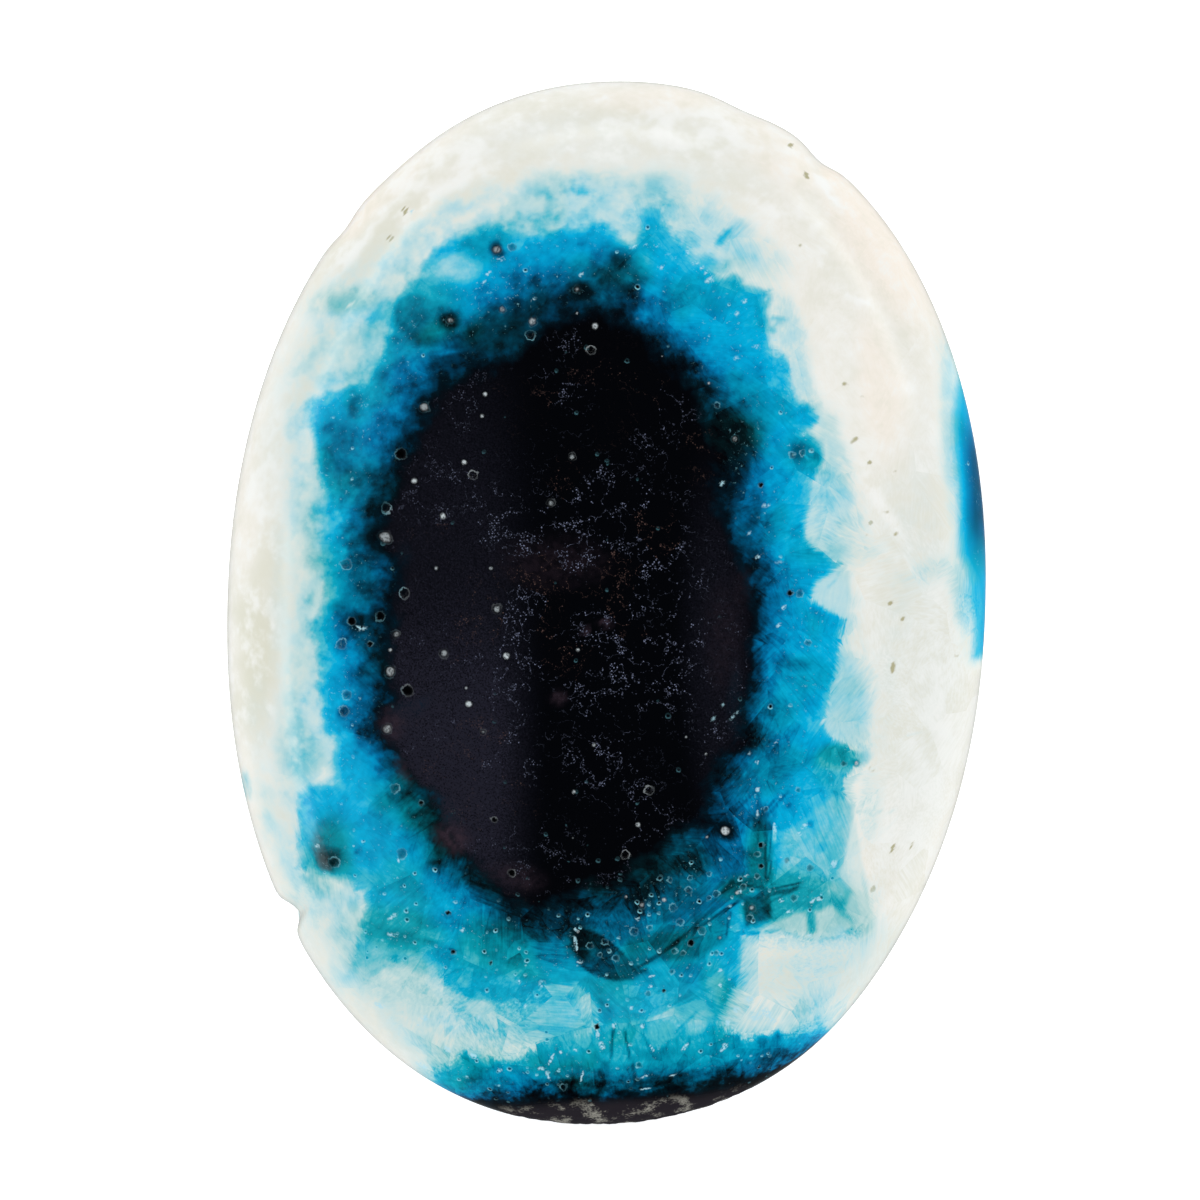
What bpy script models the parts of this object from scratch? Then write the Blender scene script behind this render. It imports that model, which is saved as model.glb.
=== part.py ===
# Polished oval cabochon of nakauriite rock: one stone with a low dome, a rounded underside
# and a flat back. Lengths are in metres. The long axis runs along Y, the dome faces +Z and
# the flat back lies on z = 0.

import bmesh
import bpy
import numpy as np

# Plain oval, before its edge was chipped
LENGTH = 0.0300
WIDTH = 0.0218
OUTLINE_POWER = 2.12
LEAN = 0.025

# Section through the stone, from the flat back up
GIRDLE_HEIGHT = 0.0023
DOME_RISE = 0.0047
DOME_POWER = 2.2
FLAT_SHARE = 0.56

# Places where the edge departs from the oval: bearing and half width in degrees,
# counted from +X towards +Y, and depth in metres; a bulge has a negative depth
EDGE_CHIPS = [
    (64.2, 1.6, 0.00017),
    (66.0, 7.0, 0.00006),
    (74.5, 2.6, 0.00012),
    (115.0, 4.0, 0.00004),
    (125.0, 1.7, 0.00010),
    (224.4, 1.3, 0.00033),
    (225.5, 0.5, 0.00017),
    (294.0, 9.0, -0.00011),
]
CHIP_START_SHARE = 0.88

# Fineness of the mesh
SEGMENTS = 128
DOME_RINGS = 15
UNDER_RINGS = 8
NARROW_CHIP = 3.0
CHIP_CROWDING = 2.5

STONE_COLOUR = (0.10, 0.42, 0.55, 1.0)
STONE_ROUGHNESS = 0.12


def clear_scene():
    """Remove every object that is already in the scene."""
    for item in list(bpy.data.objects):
        bpy.data.objects.remove(item, do_unlink=True)


def turn_between(bearings, middle):
    """Angle from a middle bearing to each bearing, from -180 to 180 degrees."""
    return (bearings - middle + 180.0) % 360.0 - 180.0


def oval_radius(bearings):
    """Distance from the middle to the edge of the plain, slightly leaning oval."""
    along = np.sin(np.radians(bearings))
    across = np.cos(np.radians(bearings)) - LEAN * along
    share_across = np.abs(across / (WIDTH / 2)) ** OUTLINE_POWER
    share_along = np.abs(along / (LENGTH / 2)) ** OUTLINE_POWER
    return (share_across + share_along) ** (-1 / OUTLINE_POWER)


def chip_depth(bearings):
    """How far the chips cut into the edge at each bearing."""
    depth = np.zeros_like(bearings)
    for middle, half_width, chip in EDGE_CHIPS:
        depth += chip * np.exp(-0.5 * (turn_between(bearings, middle) / half_width) ** 2)
    return depth


def segment_bearings():
    """One bearing for each segment, crowded together at the narrow chips."""
    fine = np.arange(0.0, 360.0, 0.1)
    density = np.ones_like(fine)
    for middle, half_width, _ in EDGE_CHIPS:
        if half_width < NARROW_CHIP:
            reach = 1.5 * half_width
            density += CHIP_CROWDING * np.exp(-0.5 * (turn_between(fine, middle) / reach) ** 2)
    travelled = np.concatenate([[0.0], np.cumsum(density)])
    stops = np.linspace(0.0, travelled[-1], SEGMENTS, endpoint=False)
    return np.interp(stops, travelled, np.append(fine, 360.0))


def section_points():
    """Share of the way to the edge, and height, of each ring from the top to the flat back."""
    points = []
    for ring in range(DOME_RINGS + 1):
        share = np.sin(np.pi / 2 * ring / DOME_RINGS)
        height = GIRDLE_HEIGHT + DOME_RISE * np.sqrt(max(0.0, 1.0 - share ** DOME_POWER))
        points.append((share, height))
    for ring in range(1, UNDER_RINGS + 1):
        turn = np.pi / 2 * ring / UNDER_RINGS
        share = FLAT_SHARE + (1.0 - FLAT_SHARE) * np.cos(turn)
        points.append((share, GIRDLE_HEIGHT * (1.0 - np.sin(turn))))
    points.append((0.0, 0.0))
    return points


def chip_reach(share):
    """How much of a chip is left at this share of the way to the edge, from 0 to 1."""
    part = min(max((share - CHIP_START_SHARE) / (1.0 - CHIP_START_SHARE), 0.0), 1.0)
    return part * part * (3.0 - 2.0 * part)


def stone_mesh():
    """A ball whose rings are moved onto the stone's section and outline."""
    bearings = segment_bearings()
    radii = oval_radius(bearings)
    chips = chip_depth(bearings)
    section = section_points()
    rings = len(section) - 1

    ball = bmesh.new()
    bmesh.ops.create_uvsphere(ball, u_segments=SEGMENTS, v_segments=rings, radius=1.0)
    for vert in ball.verts:
        ring = round(np.arccos(np.clip(vert.co.z, -1.0, 1.0)) / np.pi * rings)
        segment = round(np.arctan2(vert.co.y, vert.co.x) / (2 * np.pi) * SEGMENTS) % SEGMENTS
        share, height = section[ring]
        reach = share * (radii[segment] - chips[segment] * chip_reach(share))
        bearing = np.radians(bearings[segment])
        vert.co = (reach * np.cos(bearing), reach * np.sin(bearing), height)

    # The fan of faces round the lowest point becomes the one flat face of the back
    ball.verts.ensure_lookup_table()
    lowest = min(ball.verts, key=lambda vert: (vert.co.z, vert.co.xy.length))
    bmesh.ops.dissolve_verts(ball, verts=[lowest])

    # The middle of the outline's box goes over the origin
    span_x = [vert.co.x for vert in ball.verts]
    span_y = [vert.co.y for vert in ball.verts]
    middle = (-(min(span_x) + max(span_x)) / 2, -(min(span_y) + max(span_y)) / 2, 0.0)
    bmesh.ops.translate(ball, verts=ball.verts, vec=middle)

    bmesh.ops.recalc_face_normals(ball, faces=ball.faces)
    mesh = bpy.data.meshes.new("stone")
    ball.to_mesh(mesh)
    ball.free()
    mesh.shade_smooth()
    return mesh


def polished_rock():
    """Plain blue stand-in for the polished rock."""
    material = bpy.data.materials.new("polished_rock")
    material.use_nodes = True
    surface = material.node_tree.nodes["Principled BSDF"]
    surface.inputs["Base Color"].default_value = STONE_COLOUR
    surface.inputs["Roughness"].default_value = STONE_ROUGHNESS
    surface.inputs["Metallic"].default_value = 0.0
    return material


clear_scene()
parts = bpy.data.collections.new("nakauriite_cabochon")
bpy.context.scene.collection.children.link(parts)
stone = bpy.data.objects.new("stone", stone_mesh())
stone.data.materials.append(polished_rock())
parts.objects.link(stone)
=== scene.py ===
"""Looks of an oval cabochon cut from nakauriite rock: a low polished dome, cream white round
its edge, with a blue halo of needle crystals round a black core. Lengths are in metres."""

import bmesh
import bpy
import numpy as np
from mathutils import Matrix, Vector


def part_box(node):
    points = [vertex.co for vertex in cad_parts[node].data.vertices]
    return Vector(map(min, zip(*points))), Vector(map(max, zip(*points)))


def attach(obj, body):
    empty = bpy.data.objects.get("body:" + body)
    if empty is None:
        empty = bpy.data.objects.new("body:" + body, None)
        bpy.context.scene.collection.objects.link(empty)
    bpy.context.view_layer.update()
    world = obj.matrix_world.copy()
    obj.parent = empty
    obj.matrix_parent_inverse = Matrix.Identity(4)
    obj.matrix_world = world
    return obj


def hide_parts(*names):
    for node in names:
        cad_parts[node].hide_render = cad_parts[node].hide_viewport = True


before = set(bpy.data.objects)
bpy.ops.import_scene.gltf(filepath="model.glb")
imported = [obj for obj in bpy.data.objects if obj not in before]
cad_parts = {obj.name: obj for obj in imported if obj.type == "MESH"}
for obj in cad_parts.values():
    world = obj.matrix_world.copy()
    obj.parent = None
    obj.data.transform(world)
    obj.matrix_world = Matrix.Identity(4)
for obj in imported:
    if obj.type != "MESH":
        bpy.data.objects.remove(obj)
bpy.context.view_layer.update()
stone_low, stone_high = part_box("stone")

# The camera
# It hangs straight above the stone on a long lens, so the outline shows almost without
# perspective. Its frame is square, and the stone lies a little off its middle.
PHOTO_SIDE = 1200
STONE_MIDDLE = (606.5, 603.0)
STONE_LENGTH_IN_PIXELS = 1043.0
LENS = 200.0
SENSOR = 36.0
GIRDLE_HEIGHT = 0.0023

pixel = (stone_high.y - stone_low.y) / STONE_LENGTH_IN_PIXELS
camera_distance = PHOTO_SIDE * pixel * LENS / SENSOR
camera_x = (PHOTO_SIDE / 2 - STONE_MIDDLE[0]) * pixel
camera_y = (STONE_MIDDLE[1] - PHOTO_SIDE / 2) * pixel

camera_data = bpy.data.cameras.new("camera")
camera_data.lens = LENS
camera_data.sensor_width = SENSOR
camera_data.clip_start = 0.01
camera_data.clip_end = 10.0
camera = bpy.data.objects.new("camera", camera_data)
camera.location = (camera_x, camera_y, GIRDLE_HEIGHT + camera_distance)
bpy.context.scene.collection.objects.link(camera)
bpy.context.scene.camera = camera


def place_in_photo(points):
    """Where the camera sees each point, in pixels across and down the photograph."""
    metres_a_pixel = pixel * (GIRDLE_HEIGHT + camera_distance - points[:, 2]) / camera_distance
    across = PHOTO_SIDE / 2 + (points[:, 0] - camera_x) / metres_a_pixel
    down = PHOTO_SIDE / 2 - (points[:, 1] - camera_y) / metres_a_pixel
    return np.column_stack([across, down])


# The stone
# One piece of rock, sawn from a nodule, ground to a leaning oval with a low dome and polished.
# Cream white rock surrounds a halo of blue needle crystals and a black core with open pits.
OVAL_WIDTH = 0.0218
OVAL_LENGTH = 0.0300
OVAL_POWER = 2.12
OVAL_LEAN = 0.025
DOME_POWER = 2.2
FLAT_SHARE = 0.56

# Places where the rim departs from the oval: bearing and half width in degrees, counted from +X
# towards +Y, and depth in metres; a bulge has a negative depth
RIM_CHIPS = [
    (64.2, 1.6, 0.00017),
    (66.0, 7.0, 0.00006),
    (74.5, 2.6, 0.00012),
    (115.0, 4.0, 0.00004),
    (125.0, 1.7, 0.00010),
    (224.4, 1.3, 0.00033),
    (225.5, 0.5, 0.00017),
    (294.0, 9.0, -0.00011),
]
CHIP_START_SHARE = 0.90

# Fineness of the mesh, in faces from edge to edge
TOP_FACES_ACROSS = 188
TOP_FACES_ALONG = 258
UNDER_FACES_ACROSS = TOP_FACES_ACROSS // 2
UNDER_FACES_ALONG = TOP_FACES_ALONG // 2


def turn_between(bearings, middle):
    """Angle from a middle bearing to each bearing, from -180 to 180 degrees."""
    return (bearings - middle + 180.0) % 360.0 - 180.0


def smooth_step(low, high, values):
    """0 below the low value, 1 above the high one, and a smooth rise between."""
    part = np.clip((values - low) / (high - low), 0.0, 1.0)
    return part * part * (3.0 - 2.0 * part)


def rim_radius(bearings, share):
    """Distance from the middle to the oval's edge, less the chips where the share is near 1."""
    along = np.sin(np.radians(bearings))
    across = np.cos(np.radians(bearings)) - OVAL_LEAN * along
    share_across = np.abs(across / (OVAL_WIDTH / 2)) ** OVAL_POWER
    share_along = np.abs(along / (OVAL_LENGTH / 2)) ** OVAL_POWER
    radius = (share_across + share_along) ** (-1 / OVAL_POWER)
    for middle, half_width, depth in RIM_CHIPS:
        cut = depth * np.exp(-0.5 * (turn_between(bearings, middle) / half_width) ** 2)
        radius = radius - cut * smooth_step(CHIP_START_SHARE, 1.0, share)
    return radius


def dome_section(steps):
    """Share of the way to the rim, and height, evenly spaced along the dome from the top down."""
    turn = np.linspace(0.0, np.pi / 2, 2000)
    share = np.sin(turn)
    height = GIRDLE_HEIGHT + (stone_high.z - GIRDLE_HEIGHT) * np.sqrt(1.0 - share ** DOME_POWER)
    return evenly_spaced(share, height, steps)


def under_section(steps):
    """Share of the way to the rim, and height, evenly spaced from the middle of the back up."""
    turn = np.linspace(0.0, np.pi / 2, 1000)
    share = FLAT_SHARE + (1.0 - FLAT_SHARE) * np.sin(turn)
    height = GIRDLE_HEIGHT * (1.0 - np.cos(turn))
    share = np.concatenate([[0.0], share])
    height = np.concatenate([[0.0], height])
    return evenly_spaced(share, height, steps)


def evenly_spaced(share, height, steps):
    """The section's points at given steps, from 0 in the middle to 1 at the rim, by its length."""
    mean_radius = (OVAL_WIDTH + OVAL_LENGTH) / 4
    lengths = np.hypot(np.diff(share) * mean_radius, np.diff(height))
    travelled = np.concatenate([[0.0], np.cumsum(lengths)])
    travelled /= travelled[-1]
    return np.interp(steps, travelled, share), np.interp(steps, travelled, height)


def round_grid(faces_across, faces_along, section):
    """Points of a square grid bent into the oval and laid on one side of the stone."""
    across, along = np.meshgrid(
        np.linspace(-1.0, 1.0, faces_across + 1),
        np.linspace(-1.0, 1.0, faces_along + 1),
        indexing="ij",
    )
    disc_x = across * np.sqrt(1.0 - along ** 2 / 2)
    disc_y = along * np.sqrt(1.0 - across ** 2 / 2)
    steps = np.clip(np.hypot(disc_x, disc_y), 0.0, 1.0).ravel()
    bearings = np.degrees(np.arctan2(OVAL_LENGTH * disc_y, OVAL_WIDTH * disc_x)).ravel()
    share, height = section(steps)
    reach = share * rim_radius(bearings, share)
    turn = np.radians(bearings)
    return np.column_stack([reach * np.cos(turn), reach * np.sin(turn), height])


def stone_faces():
    """Faces of the fine top grid and of the coarser under grid, which share the rim's points."""
    top_row = TOP_FACES_ALONG + 1
    under_row = UNDER_FACES_ALONG + 1
    under_start = (TOP_FACES_ACROSS + 1) * top_row
    faces = []
    for i in range(TOP_FACES_ACROSS):
        for j in range(TOP_FACES_ALONG):
            first = i * top_row + j
            faces.append((first, first + top_row, first + top_row + 1, first + 1))

    def on_rim(i, j):
        return i in (0, TOP_FACES_ACROSS) or j in (0, TOP_FACES_ALONG)

    def under_point(i, j):
        """Point of the under grid, named by its place in the fine grid."""
        if on_rim(i, j):
            return i * top_row + j
        return under_start + (i // 2) * under_row + j // 2

    for i in range(0, TOP_FACES_ACROSS, 2):
        for j in range(0, TOP_FACES_ALONG, 2):
            corners = [(i, j), (i, j + 2), (i + 2, j + 2), (i + 2, j)]
            face = []
            for here, there in zip(corners, corners[1:] + corners[:1]):
                face.append(under_point(*here))
                between = ((here[0] + there[0]) // 2, (here[1] + there[1]) // 2)
                if on_rim(*between):
                    face.append(under_point(*between))
            faces.append(tuple(face))
    return faces


def smooth_stone():
    """The stone's mesh before its pits, fitted to the box of the solid."""
    top = round_grid(TOP_FACES_ACROSS, TOP_FACES_ALONG, dome_section)
    under = round_grid(UNDER_FACES_ACROSS, UNDER_FACES_ALONG, under_section)
    points = np.concatenate([top, under])
    low = points.min(axis=0)
    high = points.max(axis=0)
    points = np.array(stone_low) + (points - low) * (np.array(stone_high - stone_low) / (high - low))
    mesh = bpy.data.meshes.new("polished_stone")
    mesh.from_pydata(points.tolist(), [], stone_faces())
    return mesh


# Open pits in the polish: across and down in pixels of the photograph, radius, and kind. A star
# has a bright crystal in it, a disc is filled with grey grains, and a ring or a hole is empty.
PITS = [
    # In the core and on its left edge
    (424, 407, 5.5, "disc"), (485, 394, 4, "star"), (482, 416, 3.5, "star"), (400, 454, 6, "hole"),
    (464, 462, 4.5, "star"), (473, 475, 4.5, "ring"), (414, 481, 4.5, "star"), (443, 516, 4.5, "star"),
    (385, 537, 7, "disc"), (436, 568, 3.5, "star"), (491, 568, 3.5, "star"), (404, 593, 5.5, "ring"),
    (497, 609, 5, "disc"), (396, 634, 4.5, "disc"), (390, 650, 3.5, "star"), (390, 671, 6, "disc"),
    (444, 653, 5, "disc"), (506, 656, 5, "star"), (408, 691, 6, "hole"), (466, 688, 3, "star"),
    (469, 704, 5, "star"), (387, 729, 6, "disc"), (532, 321, 5, "disc"), (530, 335, 5, "ring"),
    (595, 326, 4.5, "star"), (577, 313, 3, "star"), (591, 350, 4.5, "ring"), (572, 457, 4, "disc"),
    (551, 503, 4, "disc"), (578, 650, 3.5, "star"), (594, 745, 3.5, "star"), (574, 792, 3.5, "star"),
    (649, 790, 4.5, "ring"), (638, 825, 4, "star"), (625, 855, 4.5, "ring"), (512, 873, 4, "hole"),
    (686, 737, 3, "star"), (706, 754, 3, "star"), (725, 831, 6, "star"), (735, 439, 4, "disc"),
    (494, 820, 3, "hole"), (483, 732, 3, "disc"), (573, 838, 2.5, "star"), (386, 508, 5, "ring"),
    (380, 616, 5, "hole"), (351, 621, 4.5, "hole"), (662, 356, 2.5, "star"), (709, 383, 3, "star"),
    # In the halo
    (334, 863, 5, "ring"), (395, 788, 4.5, "ring"), (402, 854, 5, "ring"), (346, 564, 5.5, "ring"),
    (347, 695, 5, "ring"), (344, 711, 5, "ring"), (342, 644, 5, "ring"), (370, 644, 3, "hole"),
    (497, 249, 5, "disc"), (502, 309, 4, "disc"), (450, 320, 4, "disc"), (577, 289, 4, "disc"),
    (512, 247, 4, "ring"), (808, 643, 3, "ring"), (717, 405, 3, "ring"), (790, 593, 3, "hole"),
    (800, 594, 3.5, "ring"), (761, 485, 2.5, "hole"), (803, 453, 3, "ring"), (792, 455, 3, "ring"),
    (448, 913, 2.5, "hole"), (421, 803, 2.5, "hole"), (491, 963, 1.8, "hole"), (453, 952, 2.5, "hole"),
    # Among the crystals of the lower right
    (844, 764, 2.9, "ring"), (857, 763, 4, "star"), (798, 790, 2.5, "ring"), (766, 809, 2.5, "ring"),
    (761, 845, 2.9, "hole"), (757, 854, 2.9, "ring"), (761, 866, 2.5, "hole"), (757, 876, 2.9, "ring"),
    (787, 860, 2.9, "ring"), (810, 868, 3.4, "ring"), (743, 887, 3.4, "ring"), (737, 893, 3.5, "star"),
    (707, 837, 3, "star"), (709, 874, 2.5, "ring"), (660, 878, 2.5, "ring"), (670, 880, 2.5, "ring"),
    (690, 878, 2.5, "ring"), (689, 890, 3.4, "ring"), (716, 894, 3.4, "ring"), (709, 898, 2.5, "ring"),
    (680, 922, 3.4, "ring"), (702, 931, 3.8, "ring"), (691, 943, 3.4, "hole"), (673, 908, 3.8, "ring"),
    (664, 900, 4, "star"), (750, 918, 3.4, "ring"), (752, 908, 4, "disc"), (794, 898, 3.4, "ring"),
    (642, 905, 4, "disc"), (626, 897, 3, "star"), (634, 932, 4.2, "ring"), (650, 928, 2.5, "ring"),
    (683, 953, 2.9, "ring"), (674, 951, 2.9, "ring"), (672, 972, 2.5, "ring"), (605, 942, 3.4, "ring"),
    (616, 958, 3.4, "ring"), (590, 946, 3.4, "ring"), (578, 932, 3, "star"), (600, 955, 2.1, "ring"),
    (609, 951, 2.1, "ring"), (664, 991, 2.1, "hole"), (597, 1027, 2.9, "hole"), (639, 1065, 2.9, "ring"),
    (563, 1087, 3.4, "ring"), (648, 994, 2.5, "ring"), (720, 938, 3, "star"), (716, 953, 2.5, "ring"),
]
PIT_DEPTH = {"star": 0.2, "disc": 0.35, "ring": 0.6, "hole": 0.9}
PIT_FILL = {"star": 1.0, "disc": 0.55, "ring": 0.0, "hole": 0.0}
# Strength, by kind, of the painted highlight round a pit's rim and of the painted shade on its floor
PIT_RIM_HIGHLIGHT = {"star": 0.0, "disc": 0.15, "ring": 0.8, "hole": 0.4}
PIT_FLOOR_SHADE = {"star": 0.30, "disc": 0.35, "ring": 0.35, "hole": 1.0}
PIT_REACH = 3.0

# Rough skin of the nodule at the lowest stretch of the rim
SKIN = [(500, 1110), (540, 1106), (585, 1103), (640, 1101), (700, 1097), (745, 1088), (790, 1140), (480, 1140)]

# Outlines of the blue halo, the black core and the blue places at the rim, clockwise
HALO = [
    (308, 420), (307, 404), (324, 399), (342, 396), (360, 389), (375, 378), (385, 361), (391, 339),
    (391, 322), (397, 306), (405, 293), (408, 283), (420, 275), (434, 262), (440, 250), (452, 242),
    (465, 236), (480, 231), (497, 225), (508, 231), (518, 237), (535, 239), (554, 237), (566, 232),
    (580, 228), (605, 225), (615, 237), (627, 246), (639, 245), (643, 228), (646, 210), (650, 205),
    (656, 211), (662, 222), (672, 231), (682, 243), (693, 260), (705, 272), (717, 278), (734, 275),
    (742, 287), (755, 290), (768, 293), (768, 310), (768, 322), (765, 333), (766, 340), (768, 347),
    (776, 352), (785, 360), (787, 382), (794, 392), (800, 404), (811, 409), (815, 418), (808, 427),
    (803, 434), (812, 438), (820, 443), (823, 455), (818, 464), (810, 474), (808, 488), (807, 510),
    (803, 524), (803, 540), (812, 549), (840, 563), (825, 576), (809, 589), (812, 600), (820, 606),
    (832, 615), (845, 620), (841, 638), (837, 656), (834, 676), (829, 700), (822, 722), (828, 738),
    (846, 748), (858, 752), (856, 765), (842, 782), (846, 798), (844, 830), (846, 868), (852, 900),
    (860, 924), (850, 932), (806, 932), (775, 929), (740, 933), (738, 975), (728, 995), (720, 1012),
    (722, 1050), (600, 1060), (602, 1033), (599, 1010), (588, 990), (576, 984), (538, 987),
    (506, 1005), (479, 1003), (447, 984), (432, 965), (402, 957), (379, 958), (356, 972), (364, 934),
    (370, 892), (338, 879), (300, 866), (301, 818), (301, 794), (336, 780), (338, 748), (326, 712),
    (322, 655), (314, 623), (326, 604), (334, 566), (347, 537), (343, 505), (325, 480), (315, 441),
]
CORE = [
    (500, 356), (512, 347), (525, 334), (545, 317), (564, 310), (600, 306), (631, 312), (642, 331),
    (669, 355), (691, 374), (706, 398), (714, 427), (724, 452), (722, 484), (729, 513), (742, 543),
    (757, 572), (762, 607), (760, 655), (753, 703), (749, 744), (729, 764), (715, 790), (716, 820),
    (722, 828), (710, 838), (679, 838), (659, 862), (628, 884), (576, 902), (535, 918), (500, 902),
    (465, 867), (436, 841), (430, 809), (404, 778), (388, 762), (375, 730), (385, 700), (379, 663),
    (385, 620), (395, 570), (378, 545), (372, 530), (395, 470), (410, 430), (425, 397), (440, 382),
    (470, 370),
]
BOTTOM_BAND = [
    (440, 1072), (465, 1054), (487, 1060), (512, 1062), (538, 1047), (560, 1040), (600, 1030),
    (660, 1024), (723, 1026), (742, 1038), (777, 1035), (819, 1040), (880, 1030), (800, 1180),
    (600, 1200), (430, 1160),
]
BLACK_BAND = [
    (460, 1104), (484, 1097), (519, 1093), (567, 1090), (620, 1087), (659, 1084), (723, 1076),
    (770, 1064), (800, 1054), (825, 1044), (860, 1060), (760, 1180), (600, 1200), (440, 1160),
]
RIGHT_PATCH = [
    (957, 402), (955, 430), (958, 455), (960, 480), (962, 555), (967, 566), (974, 580), (977, 605),
    (976, 655), (1060, 650), (1060, 340), (969, 350), (961, 375),
]

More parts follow.
